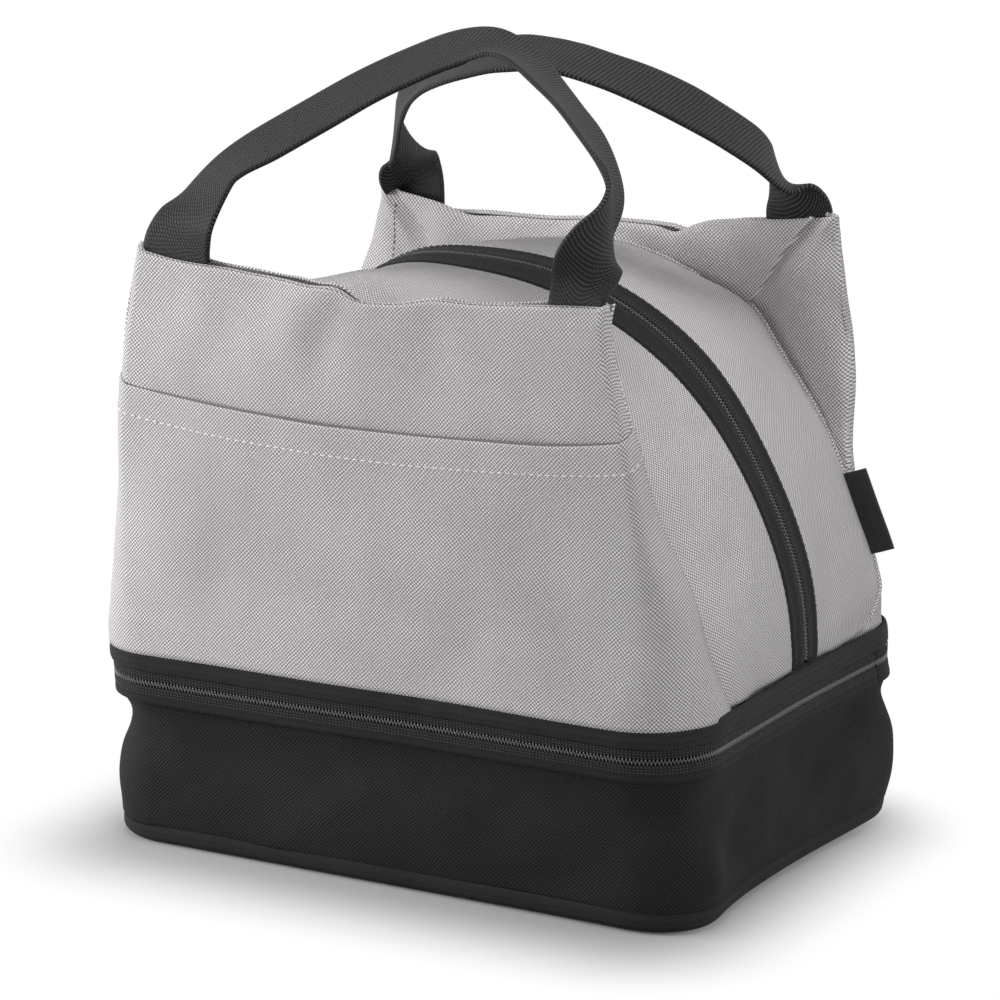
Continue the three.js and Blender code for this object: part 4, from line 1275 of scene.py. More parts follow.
@dataclass
class UpperBody:
    """The rolled border band and the padded divider between the compartments."""

    form: BagForm

    def build_band(self) -> None:
        """The border tape, folded over the cloth edges so that it stands a little proud."""
        insets = [0.9, 0.35, -0.1, -0.45, -0.62, -0.66, -0.6, -0.42, -0.1, 0.5]
        heights = [64.2, 64.3, 64.8, 65.8, 67.2, 68.6, 70.0, 71.1, 71.9, 72.2]
        surface = self.form.settled(self.form.rim_surface(self.form.arcs(2.0), insets, heights, True))
        surface = surface.lifted(0.14 * soft_noise(surface.points, 16.0, 41))
        made = cloth_piece("border_band_tape", surface, 0.8, BORDER_TAPE)
        attach(made, "upper_body", "black_oxford", "border_band")

    def plate(self, name: str, node: str, slot: str, finish: Finish, low: float,
              high: float) -> bpy.types.Object:
        """One layer of the divider: a closed plate with a rounded edge.

        Args:
            name: the piece's name.
            node: the node it stands for.
            slot: the record's slot.
            finish: what it is dressed in.
            low: height of its underside.
            high: height of its top.

        Returns:
            The new object.
        """
        middle, half = (low + high) / 2, (high - low) / 2
        edge, soft = 2.1, min(half, 1.6)
        turn = np.linspace(0, math.pi, 7)
        insets = [26.0, 12.0, *(edge + soft * (1 - np.sin(turn))), 12.0, 26.0]
        heights = [low, low, *(middle - half * np.cos(turn)), high, high]
        rim = self.form.rim_surface(self.form.arcs(5.0), insets, heights, True).points
        below = closing_rings(rim[:1], COARSE_RINGS[::-1])
        above = closing_rings(rim[-1:], COARSE_RINGS)
        grid = np.concatenate([*below, rim, *above])
        grid = grid + self.form.settle(grid) * vector(1, 1, 0)
        surface = Surface(grid, vector(0, 0, middle), True)
        made = cloth_piece(name, surface, min(0.3, half * 0.8), finish)
        attach(made, "upper_body", slot, node)
        return made

    def build(self) -> None:
        """Builds and dresses the band and the divider."""
        self.build_band()
        self.plate("divider_underside_cloth", "divider_underside", "black_oxford", BLACK_OXFORD, 65.0, 65.8)
        foam = self.plate("divider_foam_sheet", "divider_foam", "foam", FOAM, 66.1, 70.1)
        self.plate("divider_film_lining", "divider_lining", "lining", LINING, 70.4, 70.9)


# Dome halves


class Side(Enum):
    """Which half of the dome."""

    FRONT = -1
    REAR = 1


@dataclass(frozen=True)
class PadLayer:
    """A layer behind the cloth: its slot, its finish, its depth, its thickness and its rows."""

    slot: str
    finish: Finish
    near: float
    thick: float
    rows: int


PAD_LAYERS = (PadLayer("foam", FOAM, 1.1, 3.8, 8), PadLayer("lining", LINING, 5.4, 0.3, 12))


@dataclass
class DomeHalf:
    """One half of the upper compartment, from the border band to its half of the zip.

    The tape's profile gives, for each of its rows, the share of its width and the distance
    from the arc's axis.
    """

    form: BagForm
    coil: CoilZip
    side: Side
    tape_top: float
    tape_foot: float
    cloth: float = 0.8
    hem: float = 1.6
    hem_rows: int = 9
    panel_creases: tuple = ()
    gusset_creases: tuple = ()
    facing_creases: tuple = ()
    tape_profile: tuple = ((0.0, 118.3), (0.01, 118.9), (0.06, 119.3), (0.2, 119.45), (0.36, 119.3),
                           (0.5, 119.1), (0.86, 119.35), (1.0, 119.1))
    loop_radius: float = 119.42
    stitch_radius: float = 119.55

    @property
    def name(self) -> str:
        """The word that its pieces' names start with."""
        return self.side.name.lower()

    @property
    def facing(self) -> int:
        """-1 for the front and 1 for the rear."""
        return self.side.value

    @property
    def fold_share(self) -> float:
        """How far round its side fold the panel runs before it goes under the facing."""
        return 0.975 if self.side is Side.FRONT else 0.94

    def join(self, made: bpy.types.Object, slot: str, *nodes: str) -> None:
        """Hides the nodes for which a piece stands and bakes its placement into its mesh."""
        if nodes:
            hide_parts(*nodes)
        f"{self.name}_half"
        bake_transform(made)

    def tape_width(self, share: Array) -> Array:
        """How wide the tape is, from the middle of the zip."""
        return self.tape_top + (self.tape_foot - self.tape_top) * np.abs(share)

    def zip_edge(self, share: Array) -> Array:
        """The gusset's edge under the zip tape."""
        across = self.facing * self.tape_width(share)
        return self.form.dome_point(share, np.full_like(across, self.form.dome_radius), across)

    def shares(self, count: int, limit: float = 1.0) -> Array:
        """Even places along the arch."""
        return np.linspace(-limit, limit, count)

    def panel_surface(self) -> Surface:
        """The panel, folded back at its sides and turned in over its top edge."""
        across = self.form.panel_columns(91, 1.06, 15)
        top_x = self.form.ear_half_width * np.clip(across, -1.0, 1.0)
        top = self.form.top_edge(self.facing, top_x) - self.hem
        rise = np.linspace(0, 1, 64)[:, None]
        foot = self.form.cloth_foot
        z = foot + (top[None] - foot) * rise
        turn = np.linspace(0, math.radians(165), self.hem_rows + 1)[1:, None]
        z = np.concatenate([z, top[None] + self.hem * np.sin(turn)])
        out = np.concatenate([np.zeros_like(rise), -self.hem * (1 - np.cos(turn))])
        tucked = 1.4 * smoothstep(np.abs(across), self.fold_share, 1.0)
        points = self.form.panel_point(self.facing, across[None], z, out - tucked[None])
        return self.form.settled(Surface(points, vector(0, 0, 100)))

    def build_panel(self) -> None:
        """The panel of grey cloth, a little crowned over its foam."""
        surface = self.panel_surface()
        x, z = surface.points[..., 0], surface.points[..., 2]
        free = smoothstep(z, 73, 90) * (1 - smoothstep(z, 203, 214))
        crown = 1.2 * np.clip(1 - (x / 110) ** 2, 0, 1) * np.sin(math.pi * self.form.panel_share(z))
        slow = 0.45 * soft_noise(surface.points, 52.0, 51 + self.facing)
        ripple = slow + 0.12 * soft_noise(surface.points, 24.0, 53)
        lift = free * (crown + ripple) + crease_lift(self.panel_creases, surface.points)
        surface = surface.lifted_with_hem(lift, self.hem_rows)
        made = cloth_piece(f"{self.name}_panel_cloth", surface, self.cloth, GREY_OXFORD)
        declare_cloth(surface)
        self.join(made, "grey_oxford", f"{self.name}_panel")
        row, flat = -7, slice(14, -14)
        line, normal = surface.points[row, flat], surface.normals()[row, flat]
        # Real stitches along the top edge, coloured dark grey as painted shade for the seam's shadow.
        made = stitched_piece(f"{self.name}_top_edge_stitches", line + normal * 0.05, normal,
                              TOP_EDGE_STITCH, SHADED_SEAM_THREAD)
        self.join(made, "grey_oxford")

    def facing_edge(self, share: Array) -> Array:
        """Where the facing meets the inside of the panel's fold."""
        at = np.abs(share)
        along = np.minimum(at / self.form.ear_share, 1.0)
        down = np.maximum(at - self.form.ear_share, 0) / (1 - self.form.ear_share)
        x = self.form.ear_half_width * along
        ear = self.form.top_edge(self.facing, np.sign(share) * self.form.ear_half_width)
        z = np.where(at <= self.form.ear_share, self.form.top_edge(self.facing, np.sign(share) * x) - 0.8,
                     ear - (ear - self.form.upper_foot) * down)
        turn = self.form.fold_turn(self.fold_share)
        radius = self.form.fold_radius(z)
        half_width = self.form.panel_half_width(self.facing, np.sign(share), z)
        wide = half_width - radius * (1 - math.sin(turn)) + 0.25
        past = smoothstep(at, self.form.ear_share - 0.008, self.form.ear_share + 0.03)
        fold = 5.4 * (1 - past) + radius * (1 - math.cos(turn)) * past
        reach = np.where(at <= self.form.ear_share, x, wide)
        return np.stack([np.sign(share) * reach, self.facing * (self.form.panel_face(z) - fold), z], -1)

    def build_facing(self) -> None:
        """The facing behind the ears, with the folded edge that runs from each ear to the arch."""
        near_fold = np.linspace(0.345, 0.36, 31)
        column = np.unique(np.concatenate([self.shares(281, 0.96), near_fold, -near_fold]))
        step = np.linspace(0, 1, 15)[:, None, None]
        at = np.abs(column)
        lean = 0.022 * step[..., 0] * np.exp(-((at - 0.352) / 0.03) ** 2)
        share = column + np.sign(column) * lean
        seam, edge = self.form.seam(self.facing, share, 0.2), self.facing_edge(share)
        turned = smoothstep(np.abs(share), self.form.ear_share - 0.05, self.form.ear_share + 0.05)[..., None]
        inner = 0.25 * (1 - turned)
        bend = edge * (1 - inner) + seam * inner + vector(0, -self.facing, 0) * (1.5 + 5.5 * turned)
        grid = seam * (1 - step) ** 2 + bend * 2 * step * (1 - step) + edge * step ** 2
        surface = self.form.settled(Surface(grid, vector(0, self.facing * 175, 60)))
        surface.plan = grid[..., [0, 2]]
        overlap = 2.6 * (1 - smoothstep(at, 0.351, 0.353)) * smoothstep(at, 0.2, 0.345)
        middle = np.sin(math.pi * step[..., 0])
        ripple = middle * (0.8 * soft_noise(surface.points, 30.0, 61 + self.facing))
        surface = surface.lifted(overlap + ripple + crease_lift(self.facing_creases, surface.points))
        made = cloth_piece(f"{self.name}_facing_cloth", surface, self.cloth, GREY_OXFORD)
        declare_cloth(surface)
        self.join(made, "grey_oxford", f"{self.name}_facing")
        if self.side is Side.REAR:
            self.build_wing_seam(surface)

    def build_wing_seam(self, surface: Surface) -> None:
        """The stitched seam that runs down the left wing from its top edge, in dark grey thread that paints
        the seam's shade.

        Args:
            surface: the facing's outer face.
        """
        top, foot, slope = (-85.5, 208.5), 182, 0.05
        height = np.linspace(top[1], foot, 30)
        places = np.stack([top[0] - slope * (top[1] - height), height], -1)
        points, normals = surface.points.reshape(-1, 3), surface.normals().reshape(-1, 3)
        away = ((places[:, None] - points[None, :, [0, 2]]) ** 2).sum(-1) + 0.05
        share = 1 / away ** 2
        share = share / share.sum(axis=1, keepdims=True)
        depth, out = share @ points[:, 1], share @ normals
        line = np.stack([places[:, 0], depth, places[:, 1]], -1) + out * 0.15
        # Real stitches, coloured dark grey as painted shade for the seam's shadow.
        made = stitched_piece("rear_left_wing_stitches", line, out, WING_STITCH, SHADED_SEAM_THREAD)
        self.join(made, "grey_oxford")

    def gusset_grid(self, share: Array, step: Array) -> Array:
        """Points from the arched seam, at step 0, to the zip, at step 1."""
        return self.form.seam(self.facing, share)[None] * (1 - step) + self.zip_edge(share)[None] * step

    def gusset_surface(self) -> Surface:
        """The gusset, from the arched seam to the zip, filled out by its foam."""
        share = self.shares(190)
        step = np.linspace(0, 1, 30)[:, None, None]
        grid = self.gusset_grid(share, step)
        surface = Surface(grid, self.form.dome_centre)
        swell = 1.9 * np.sin(math.pi * step[..., 0]) ** 0.75 * (1 - 0.55 * np.abs(share) ** 6)[None]
        ripple = 0.5 * soft_noise(grid, 44.0, 71 + self.facing) + 0.22 * soft_noise(grid, 18.0, 73)
        lift = swell + ripple * np.sin(math.pi * step[..., 0])
        return self.form.settled(surface.lifted(lift + crease_lift(self.gusset_creases, grid)))

    def build_gusset(self) -> None:
        """The gusset and the raised edge of its arched seam."""
        surface = self.gusset_surface()
        made = cloth_piece(f"{self.name}_gusset_cloth", surface, self.cloth, GREY_OXFORD)
        declare_cloth(surface)
        self.join(made, "grey_oxford", f"{self.name}_gusset")
        share = self.shares(240, 0.985)
        line = self.form.seam(self.facing, share, 0.3)
        line = line + self.form.settle(line)
        shape = Shape()
        add_tube(shape, line, 0.85 + 0.12 * soft_noise(line, 9.0, 75), vector(0, 1, 0), 8)
        welt = shape.piece(f"{self.name}_arch_seam_welt", GREY_OXFORD)
        self.join(welt, "grey_oxford")

    def zip_line(self, share: Array, radius: float, across: Array) -> tuple[Array, Array]:
        """A line along the dome zip and the direction in which the zip faces there.

        Args:
            share: places along the arch.
            radius: distance from the arc's axis.
            across: distance from the middle of the zip, toward this half's panel.

        Returns:
            The points and the directions.
        """
        full = np.ones_like(share)
        path = self.form.dome_point(share, radius * full, self.facing * across * full)
        path = path + self.form.settle(path)
        return path, unit(path - self.form.dome_centre)

    def build_tape(self) -> None:
        """This half's tape, with its binding loops and the stitches along its edge."""
        share = self.shares(420)
        far = self.tape_width(share)
        ripple = 0.16 * np.cos(2 * math.pi * share * 250 / 1.7)
        rows = []
        for part, radius in self.tape_profile:
            across = 1.0 + (far + 0.7 - 1.0) * part + ripple * (part == 1.0)
            rows.append(self.form.dome_point(share, np.full_like(across, radius), self.facing * across))
        surface = self.form.settled(Surface(np.stack(rows), self.form.dome_centre))
        made = cloth_piece(f"{self.name}_dome_tape_cloth", surface, self.coil.tape, ZIP_TAPE)
        self.join(made, "zip_tape", f"{self.name}_dome_tape")
        threads = Shape()
        fine = self.shares(900, 0.995)
        for across in self.coil.rows:
            stitch_row(threads, *self.zip_line(fine, self.loop_radius, across), BINDING_LOOP)
        edge = self.tape_width(fine) - 1.2
        stitch_row(threads, *self.zip_line(fine, self.stitch_radius, edge), TAPE_STITCH)
        loops = threads.piece(f"{self.name}_dome_tape_binding_loops", BLACK_THREAD)
        self.join(loops, "zip_tape")

    def build_coil(self) -> None:
        """This half of the dome zip's coil."""
        path, out = self.zip_line(self.shares(900, 0.995), self.form.dome_radius, 0)
        offset = 0.0 if self.side is Side.FRONT else 0.5
        shape = Shape()
        self.coil.add_teeth(shape, path, out, -float(self.facing), offset)
        teeth = shape.piece(f"{self.name}_dome_coil_teeth", COIL_NYLON)
        self.join(teeth, "zip_coil", f"{self.name}_dome_coil")

    def build_padding(self) -> None:
        """Foam and film lining behind the panel and the gusset."""
        share = self.shares(90, 0.985)
        for layer in PAD_LAYERS:
            step = np.linspace(0.08, 0.98, layer.rows)[:, None, None]
            surface = Surface(self.gusset_grid(share, step), self.form.dome_centre)
            self.build_pad("gusset", self.form.settled(surface.lifted(-layer.near)), layer, 81)
            self.build_pad("panel", self.panel_pad_surface(layer.near), layer, 83)

    def panel_pad_surface(self, near: float) -> Surface:
        """A flat sheet with an arched outline, at a depth under the panel's face."""
        turn = np.linspace(0, math.pi, 61)
        rise = np.maximum(np.sin(turn), 0) ** self.form.arch_power
        across = np.sign(np.cos(turn)) * np.abs(np.cos(turn)) ** self.form.arch_power
        ring = np.stack([93.3 * across, 0 * turn, self.form.upper_foot + 123.3 * rise], -1)
        foot = ring * vector(1, 0, 0) + vector(0, 0, self.form.upper_foot)
        step = np.linspace(0.01, 1, 14)[:, None, None]
        grid = foot[None] * (1 - step) + ring[None] * step
        depth = self.facing * (84.4 - near)
        grid = grid + vector(0, depth, 0)
        surface = self.form.settled(Surface(grid, vector(0, 0, 120)))
        surface.plan = grid[..., [0, 2]]
        return surface

    def build_pad(self, part: str, surface: Surface, layer: PadLayer, seed: int) -> None:
        """One sheet of foam or of crinkled lining.

        Args:
            part: what it lies behind.
            surface: its outer face.
            layer: the layer to which it belongs.
            seed: picks its crinkles.
        """
        if layer.slot == "lining":
            surface = surface.lifted(-0.3 * (1 + soft_noise(surface.points, 24.0, seed)))
        made = cloth_piece(f"{self.name}_{part}_{layer.slot}_sheet", surface, layer.thick, layer.finish)
        if layer.slot == "foam":
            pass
        else:
            declare_cloth(surface)
        self.join(made, layer.slot, f"{self.name}_{layer.slot}_{part}")

    def build(self) -> None:
        """Builds and dresses the half."""
        self.build_panel()
        self.build_facing()
        self.build_gusset()
        self.build_tape()
        self.build_coil()
        self.build_padding()


# The valley at the foot of the front's right fold goes through every layer that lies there.
FRONT_VALLEY = Crease((118.5, -64.5, 91), (-0.05, -0.28, 1), 19, 4.2, -3.6)
FRONT_PANEL_CREASES = (
    Crease((-30, -86, 198), (0.5, 0, 1), 16, 8, 1.0), Crease((-16, -86, 196), (0.4, 0, 1), 16, 6, -1.1),
    Crease((22, -86, 196), (-0.4, 0, 1), 14, 8, -0.9), Crease((-70, -86, 192), (0.7, 0, 1), 22, 9, 0.8),
    FRONT_VALLEY,
)
FRONT_GUSSET_CREASES = (
    FRONT_VALLEY, Crease((119, -46, 98), (0, 0.1, 1), 26, 10, 1.8),
    Crease((116, -38, 124), (0.2, 0.5, 1), 16, 9, -1.6), Crease((117, -26, 118), (0, 0.4, 1), 18, 7, 0.8),
)
REAR_GUSSET_CREASES = (
    Crease((117, 34, 110), (0, 0.3, 1), 24, 9, -0.9), Crease((118, 46, 90), (0, 0.6, 1), 18, 8, 0.7),
)


@dataclass
class SlipPocket:
    """The open pocket on the front: one more layer of cloth with a hemmed, flaring mouth."""

    half: DomeHalf
    room: float = 2.4
    hem_depth: float = 9.5
    hem_rows: int = 6
    creases: tuple = (
        Crease((20, -90, 88), (0.3, 0, 1), 22, 10, 0.9), Crease((40, -90, 86), (0.25, 0, 1), 22, 8, -0.8),
        Crease((-66, -90, 98), (0.6, 0, 1), 26, 13, -0.8),
        Crease((72, -88, 120), (-0.25, 0, 1), 34, 11, -0.7),
    )

    def mouth(self, x: Array) -> Array:
        """The height of the pocket's mouth."""
        return 161.5 + 10.0 * np.abs(x / 94.0) ** 2.5

    def surface(self) -> Surface:
        """The pocket's outer face."""
        form = self.half.form
        across = form.panel_columns(101, 1.03, 14)
        top = self.mouth(form.ear_half_width * np.minimum(np.abs(across), 1.0))
        rise = np.linspace(0, 1, 56)[:, None]
        foot = form.cloth_foot
        z = foot + (top[None] - foot) * rise
        sides = 1 - np.minimum(np.abs(across) / 0.86, 1.0) ** 5
        room = self.room * sides[None] * smoothstep(z, form.upper_foot + 4, 120.0)
        out = 1.5 - 0.6 * smoothstep(np.abs(across), 0.86, 1.0)[None] + room
        turn = np.linspace(0, math.pi, self.hem_rows + 1)[1:, None]
        z = np.concatenate([z, top[None] + 0.7 * np.sin(turn)])
        out = np.concatenate([out, out[-1:] - 0.55 * (1 - np.cos(turn))])
        points = form.panel_point(-1, across[None], z, out)
        surface = form.settled(Surface(points, vector(0, 0, 100)))
        free = smoothstep(z, 73, 95) * (1 - 0.7 * smoothstep(np.abs(across), form.flat_part, 1.0)[None])
        ripple = 0.45 * soft_noise(surface.points, 52.0, 91) + 0.1 * soft_noise(surface.points, 24.0, 92)
        lift = free * (ripple + crease_lift(self.creases, surface.points))
        lift = lift + FRONT_VALLEY.lift(surface.points)
        return surface.lifted_with_hem(lift, self.hem_rows)

    def build(self) -> None:
        """Builds the pocket, the stitches of its hem and a dark cord in its mouth that paints the shade
        there.
        """
        surface = self.surface()
        made = cloth_piece("front_pocket_cloth", surface, 0.8, GREY_OXFORD)
        declare_cloth(surface)
        self.half.join(made, "grey_oxford", "front_pocket")
        length = surface.cloth()[..., 1]
        target = length[-self.hem_rows - 1] - self.hem_depth
        points, normals = surface.points, surface.normals()
        columns = np.arange(points.shape[1])
        above = np.array([np.searchsorted(length[:, c], target[c]) for c in columns])
        start, end = length[above - 1, columns], length[above, columns]
        share = ((target - start) / (end - start))[:, None]
        normal = normals[above, columns]
        path = points[above - 1, columns] * (1 - share) + points[above, columns] * share
        path = path + normal * 0.1
        hem = stitched_piece("front_pocket_hem_stitches", path, normal, HEM_STITCH, GREY_THREAD)
        self.half.join(hem, "grey_oxford")
        # Painted shadow: a dark grey cord laid in the gap behind the pocket's lip, standing for the shade
        # inside the mouth.
        shape = Shape()
        fold, flat = -self.hem_rows, slice(12, -12)
        mouth = points[fold, flat] - normals[fold - 2, flat] * 1.5 + vector(0, 0, 0.25)
        add_tube(shape, mouth, 0.62, vector(0, 1, 0), 6)
        shadow_cord = shape.piece("front_pocket_overlocked_edge", SHADED_SEAM_THREAD)
        self.half.join(shadow_cord, "grey_oxford")


# Handles, tag and sliders


@dataclass
class Handle:
    """One strap of webbing, sewn flat into both ears and turned on edge over the bag.

    Its course is a row of stations: millimetres across the bag, millimetres up the strap's
    leaning plane, and how many degrees it is turned there from lying flat in that plane.
    """

    half: DomeHalf
    course: tuple
    width: float = 25.0
    thickness: float = 1.6
    lean: float = math.radians(49)
    stand: float = 12.0
    tail: float = 20.0
    root_y: float = 81.5
    root_z: float = 215.6
    ease: float = 30.0

    def stations(self) -> tuple[Array, Array]:
        """The middle line at close even steps and the turn there, tails included."""
        course = np.array(self.course, float)
        tail = vector(0, self.tail, 0)
        course = np.concatenate([[course[0] - tail], course, [course[-1] - tail]])
        knots = run_along(course[:, :2])
        even = np.linspace(0, knots[-1], round(knots[-1]))
        kernel = np.hanning(11) / np.hanning(11).sum()
        rows = (smooth_curve(knots, course[:, axis], even) for axis in range(3))
        x, along, turn = (np.convolve(np.pad(row, 5, "edge"), kernel, "valid") for row in rows)
        past = along - self.stand
        start = 0.5 * (math.sqrt(self.stand ** 2 + self.ease) - self.stand)
        leaning = np.maximum(0.5 * (past + np.sqrt(past * past + self.ease)) - start, 0.0)
        y = self.half.facing * (self.root_y - leaning * math.sin(self.lean))
        z = self.root_z + along - leaning * (1 - math.cos(self.lean))
        return np.stack([x, y, z], -1), np.radians(turn)

    def surface(self) -> Surface:
        """The strap's outer face, with its two ends going down into the ears."""
        path, turn = self.stations()
        facing = self.half.facing
        tangent = unit(np.gradient(path, axis=0))
        lean = self.lean * smoothstep(path[:, 2], 219, 236)
        outward = np.stack([0 * lean, facing * np.cos(lean), np.sin(lean)], -1)
        outward = unit(outward - np.sum(outward * tangent, -1, keepdims=True) * tangent)
        inward = np.cross(tangent, outward) * -facing
        width = inward * np.cos(turn)[:, None] + outward * np.sin(turn)[:, None]
        across = np.linspace(-1, 1, 17)
        grid = path[None] + (across * self.width / 2)[:, None, None] * width[None]
        normal = unit(np.cross(width, tangent))
        bent = np.abs(np.gradient(turn)) * 14
        cup = (1 - across[:, None] ** 2) * np.clip(bent, 0, 1.6)[None]
        grid = grid + cup[..., None] * normal[None] * facing
        grid = grid + normal[None] * (self.thickness / 2)
        surface = Surface(grid, grid.mean(axis=0)[None] - normal[None] * 50)
        settle = self.half.form.settle(grid) * (1 - smoothstep(grid[..., 2], 216, 236))[..., None]
        return surface.shifted(settle)

    def build(self) -> None:
        """Builds and dresses the strap."""
        name = self.half.name
        made = cloth_piece(f"{name}_handle_webbing", self.surface(), self.thickness, WEBBING)
        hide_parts(f"{name}_handle", f"{name}_handle_end_left", f"{name}_handle_end_right")
        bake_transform(made)


FRONT_COURSE = (
    (-79, 0, 0), (-77.8, 5.5, 5), (-75.5, 13, 12), (-73.6, 20.6, 18), (-72, 28.6, 22), (-68, 36.8, 19),
    (-57.6, 48.2, 14), (-44.2, 62.4, 14), (-31, 76.1, 15), (-16.9, 87.6, 16), (-5.4, 95.1, 17),
    (3.7, 98, 22), (11.7, 97.1, 34), (21.9, 93, 50), (31, 86.9, 58), (40.9, 79.1, 62), (53.3, 69.1, 66),
    (63.6, 58.4, 72), (72.9, 46.9, 82), (77.9, 38.8, 96), (80.4, 31, 106), (81.8, 22.4, 98),
    (81.6, 14.5, 66), (80, 6.5, 24), (79, 0, 0),
)
REAR_COURSE = (
    (-79, 0, 0), (-81, 2.5, 20), (-84.6, 7, 75), (-86.6, 13.6, 106), (-80, 28.4, 106), (-66.8, 48, 94),
    (-54.5, 60.2, 77), (-41.9, 69.5, 69), (-22.5, 79.2, 67), (-6, 84.1, 63), (5.4, 84.6, 58),
    (14.3, 83.1, 56), (25.6, 77.9, 56), (39.3, 69.2, 59), (52.8, 56.9, 61), (61.2, 46.5, 60),
    (71, 30.5, 60), (74, 20, 56), (75.5, 13, 36), (78, 6, 12), (79, 0, 0),
)


@dataclass
class SideTag:
    """A plain woven tag, folded double and caught in the rear arched seam on the right."""

    half: DomeHalf
    width: float = 9.0
    foot: float = 0.856
    top: float = 0.705

    def build(self) -> None:
        """Builds and dresses the tag."""
        form = self.half.form
        share = np.linspace(self.foot, self.top, 26)
        near = form.seam(1, share, 1.1) + vector(0, -1.8, 0)
        rise = near[-1] - near[0]
        out = unit(vector(rise[2], 0, -rise[0])) * self.width
        step = np.linspace(-0.12, 1, 12)[:, None, None]
        grid = near[None] + out * step
        bow = 0.5 * np.sin(math.pi * np.clip(step, 0, 1)) + 0.5 * np.clip(step, 0, 1) ** 2
        grid = grid + bow * vector(0, -1, 0) + form.settle(near)[None]
        surface = Surface(grid, vector(0, 175, 60))
        made = cloth_piece("side_tag_cloth", surface, 0.8, TAG_CLOTH)
        declare_cloth(surface)
        self.half.join(made, "label", "side_label")


@dataclass
class Sliders:
    """The two sliders and their pulls: the frame's own solids in a painted finish."""

    nodes: tuple[str, ...] = ("dome_slider", "dome_puller", "base_slider", "base_puller")

    def dress(self, frame: dict) -> None:
        """Gives each its painted metal."""
        for node in self.nodes:
            for slot in frame["nodes"][node].material_slots:
                slot.material = SLIDER_PAINT.material()


# Studio


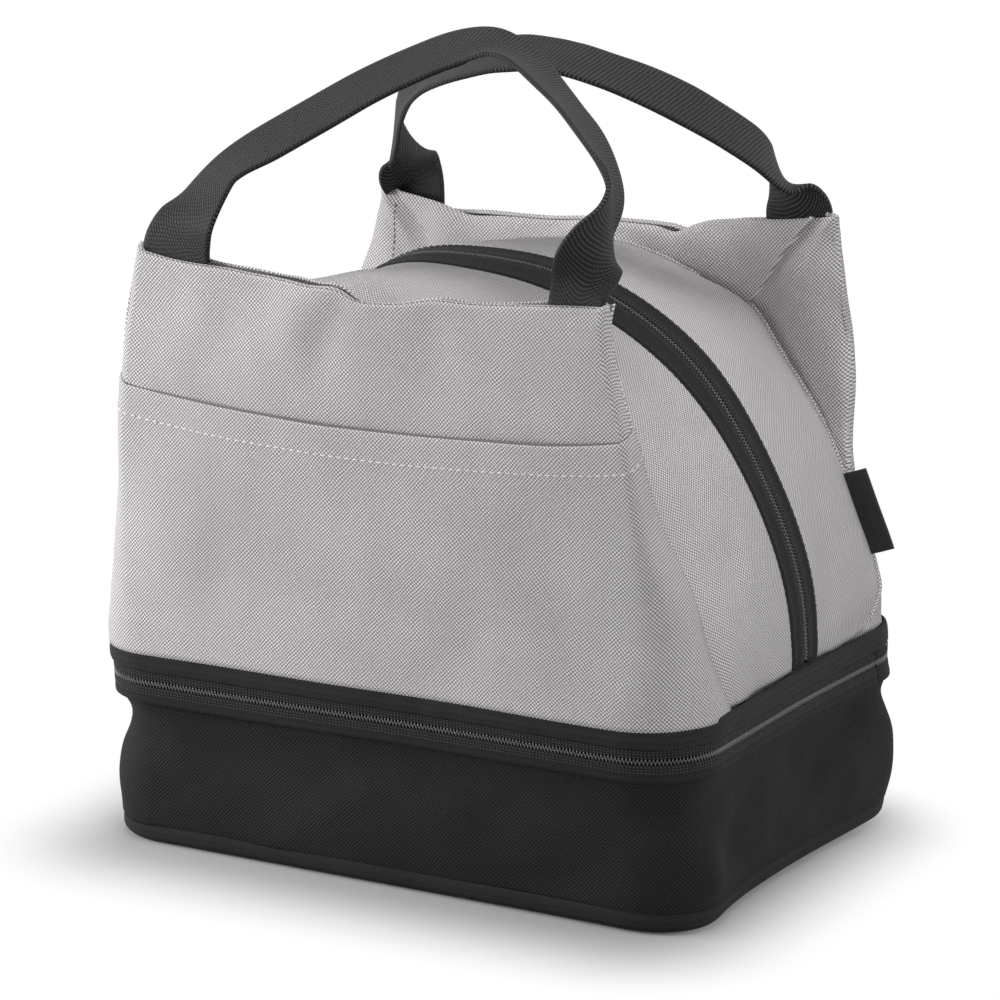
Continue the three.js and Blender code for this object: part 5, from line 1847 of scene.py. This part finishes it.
@dataclass
class Studio:
    """A pale floor, soft lamps and the camera at the photograph's viewing angle.

    The camera's distance and aim are in millimetres, as its lens is. The floor's reach, and the
    shift and reach of the grey painted shadow round the bag, are in metres.
    """

    azimuth: float = math.radians(29.0)
    elevation: float = math.radians(14.0)
    distance: float = 1500.0
    across: float = 1.7
    height: float = 118.7
    lens: float = 151.2
    floor_reach: float = 12.0
    shadow_shift: tuple[float, float, float] = (-0.004, 0.02, 0.0)
    shadow_reach: tuple[float, float, float] = (0.093, 0.0605, 0.0)

    def place_camera(self) -> None:
        """The camera looks down a little at the middle of the bag, from the front right."""
        a, e = self.azimuth, self.elevation
        back = vector(math.sin(a) * math.cos(e), -math.cos(a) * math.cos(e), math.sin(e))
        right = vector(math.cos(a), math.sin(a), 0)
        eye = right * self.across + vector(0, 0, self.height) + back * self.distance
        data = bpy.data.cameras.new("camera")
        data.lens = self.lens
        data.sensor_width = 36.0
        data.clip_start, data.clip_end = 0.05, 60.0
        camera = bpy.data.objects.new("camera", data)
        camera.location = eye * MM
        camera.rotation_euler = (math.pi / 2 - e, 0, a)
        bpy.context.scene.collection.objects.link(camera)
        bpy.context.scene.camera = camera

    def lamp(self, name: str, place: Array, target: Array, size: float, power: float) -> None:
        """A square soft lamp that faces a target, in metres and watts."""
        data = bpy.data.lights.new(name, "AREA")
        data.size = size
        data.energy = power
        made = bpy.data.objects.new(name, data)
        away = unit(place - target)
        made.location = place
        made.rotation_euler = (math.acos(away[2]), 0, math.atan2(away[1], away[0]) + math.pi / 2)
        bpy.context.scene.collection.objects.link(made)

    def seen_rays(self, tree: Tree) -> Socket:
        """1 for a ray that shows the surface to the camera, straight or in a gloss or glass."""
        rays = add_node(tree, "ShaderNodeLightPath").outputs
        seen = calculate(tree, "MAXIMUM", rays["Is Camera Ray"], rays["Is Glossy Ray"])
        return calculate(tree, "MAXIMUM", seen, rays["Is Transmission Ray"])

    def mix_shaders(self, tree: Tree, share: Socket, first: Node, second: Node) -> Node:
        """Adds a mix of two shaders, with the share of the second."""
        inputs = {0: share, 1: first.outputs[0], 2: second.outputs[0]}
        return add_node(tree, "ShaderNodeMixShader", inputs)

    def lay_floor(self) -> None:
        """A floor that is grey paper round the bag, a painted shadow over its real shadow, and white away
        from it.
        """
        mesh = bpy.data.meshes.new("studio_floor")
        far = self.floor_reach
        mesh.from_pydata([(-far, -far, 0), (far, -far, 0), (far, far, 0), (-far, far, 0)], [], [(0, 1, 2, 3)])
        made = bpy.data.objects.new("studio_floor", mesh)
        bpy.context.scene.collection.objects.link(made)
        surface = bpy.data.materials.new("studio_paper_matt")
        surface.use_nodes = True
        tree = surface.node_tree
        tree.nodes.clear()
        seen = self.seen_rays(tree)
        place = add_node(tree, "ShaderNodeTexCoord").outputs["Object"]
        size = calculate_vector(tree, "ABSOLUTE", calculate_vector(tree, "ADD", place, self.shadow_shift))
        past = calculate_vector(tree, "SUBTRACT", size, self.shadow_reach)
        past = calculate_vector(tree, "MAXIMUM", past, (0.0, 0.0, 0.0))
        away = add_node(tree, "ShaderNodeVectorMath", {0: past}, operation="LENGTH")
        far = add_node(tree, "ShaderNodeMapRange",
                       {"Value": away.outputs["Value"], "From Min": 0.01, "From Max": 0.07},
                       interpolation_type="SMOOTHSTEP")
        # Painted shadow: the floor is grey paper within a few centimetres of a rounded rectangle under the
        # bag, shifted toward the front, and white emission farther out.
        painted_shadow_paper = add_node(tree, "ShaderNodeBsdfDiffuse", {"Color": to_linear("#a8a8a8")})
        white = add_node(tree, "ShaderNodeEmission", {"Color": to_linear("#ffffff"), "Strength": 1.0})
        shown = self.mix_shaders(tree, far.outputs[0], painted_shadow_paper, white)
        both = self.mix_shaders(tree, seen, painted_shadow_paper, shown)
        add_node(tree, "ShaderNodeOutputMaterial", {"Surface": both.outputs[0]})
        mesh.materials.append(surface)

    def light_world(self) -> None:
        """A pale even world, white where it is seen."""
        world = bpy.data.worlds.new("studio")
        bpy.context.scene.world = world
        world.use_nodes = True
        tree = world.node_tree
        tree.nodes.clear()
        seen = self.seen_rays(tree)
        soft = add_node(tree, "ShaderNodeBackground", {"Color": to_linear("#fbfbff"), "Strength": 0.1})
        white = add_node(tree, "ShaderNodeBackground", {"Color": to_linear("#ffffff"), "Strength": 1.0})
        both = self.mix_shaders(tree, seen, soft, white)
        add_node(tree, "ShaderNodeOutputWorld", {"Surface": both.outputs[0]})

    def build(self) -> None:
        """Sets up camera, lamps, floor and world."""
        bpy.context.scene.view_settings.view_transform = "Standard"
        self.place_camera()
        self.lay_floor()
        self.light_world()
        middle = vector(0, 0, 0.13)
        self.lamp("key_lamp", vector(-0.5, -0.32, 0.25), middle, 0.3, 4.1)
        self.lamp("front_lamp", vector(1.0, -0.85, 0.5), middle, 0.8, 7.6)
        self.lamp("side_lamp", vector(1.2, 0.3, 0.5), middle, 0.8, 5.0)
        self.lamp("top_lamp", vector(0.0, -0.1, 1.2), middle, 0.6, 9.0)


def main() -> None:
    """Builds the studio and the bag's sub-assemblies in order."""
    logging.basicConfig(level=logging.INFO, format="%(message)s")
    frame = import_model()
    form, coil = BagForm(), CoilZip()
    Studio().build()
    LOG.info("studio: camera, floor and lamps")
    BaseBox(form).build()
    LOG.info("base box: wall, bottom, foam and lining")
    BaseZip(form, coil).build()
    LOG.info("base zip: tapes, coil and rear hinge")
    UpperBody(form).build()
    LOG.info("upper body: border band and divider")
    front = DomeHalf(form, coil, Side.FRONT, 15.0, 10.0, panel_creases=FRONT_PANEL_CREASES,
                     gusset_creases=FRONT_GUSSET_CREASES, facing_creases=(FRONT_VALLEY,))
    front.build()
    LOG.info("front half: panel, facing, gusset, zip and padding")
    rear = DomeHalf(form, coil, Side.REAR, 11.0, 9.0, gusset_creases=REAR_GUSSET_CREASES)
    rear.build()
    LOG.info("rear half: panel, facing, gusset, zip and padding")
    SlipPocket(front).build()
    LOG.info("slip pocket on the front")
    Handle(front, FRONT_COURSE).build()
    Handle(rear, REAR_COURSE).build()
    LOG.info("two webbing handles")
    SideTag(rear).build()
    LOG.info("side tag")
    Sliders().dress(frame)
    LOG.info("sliders and pulls")


if __name__ == "__main__":
    main()
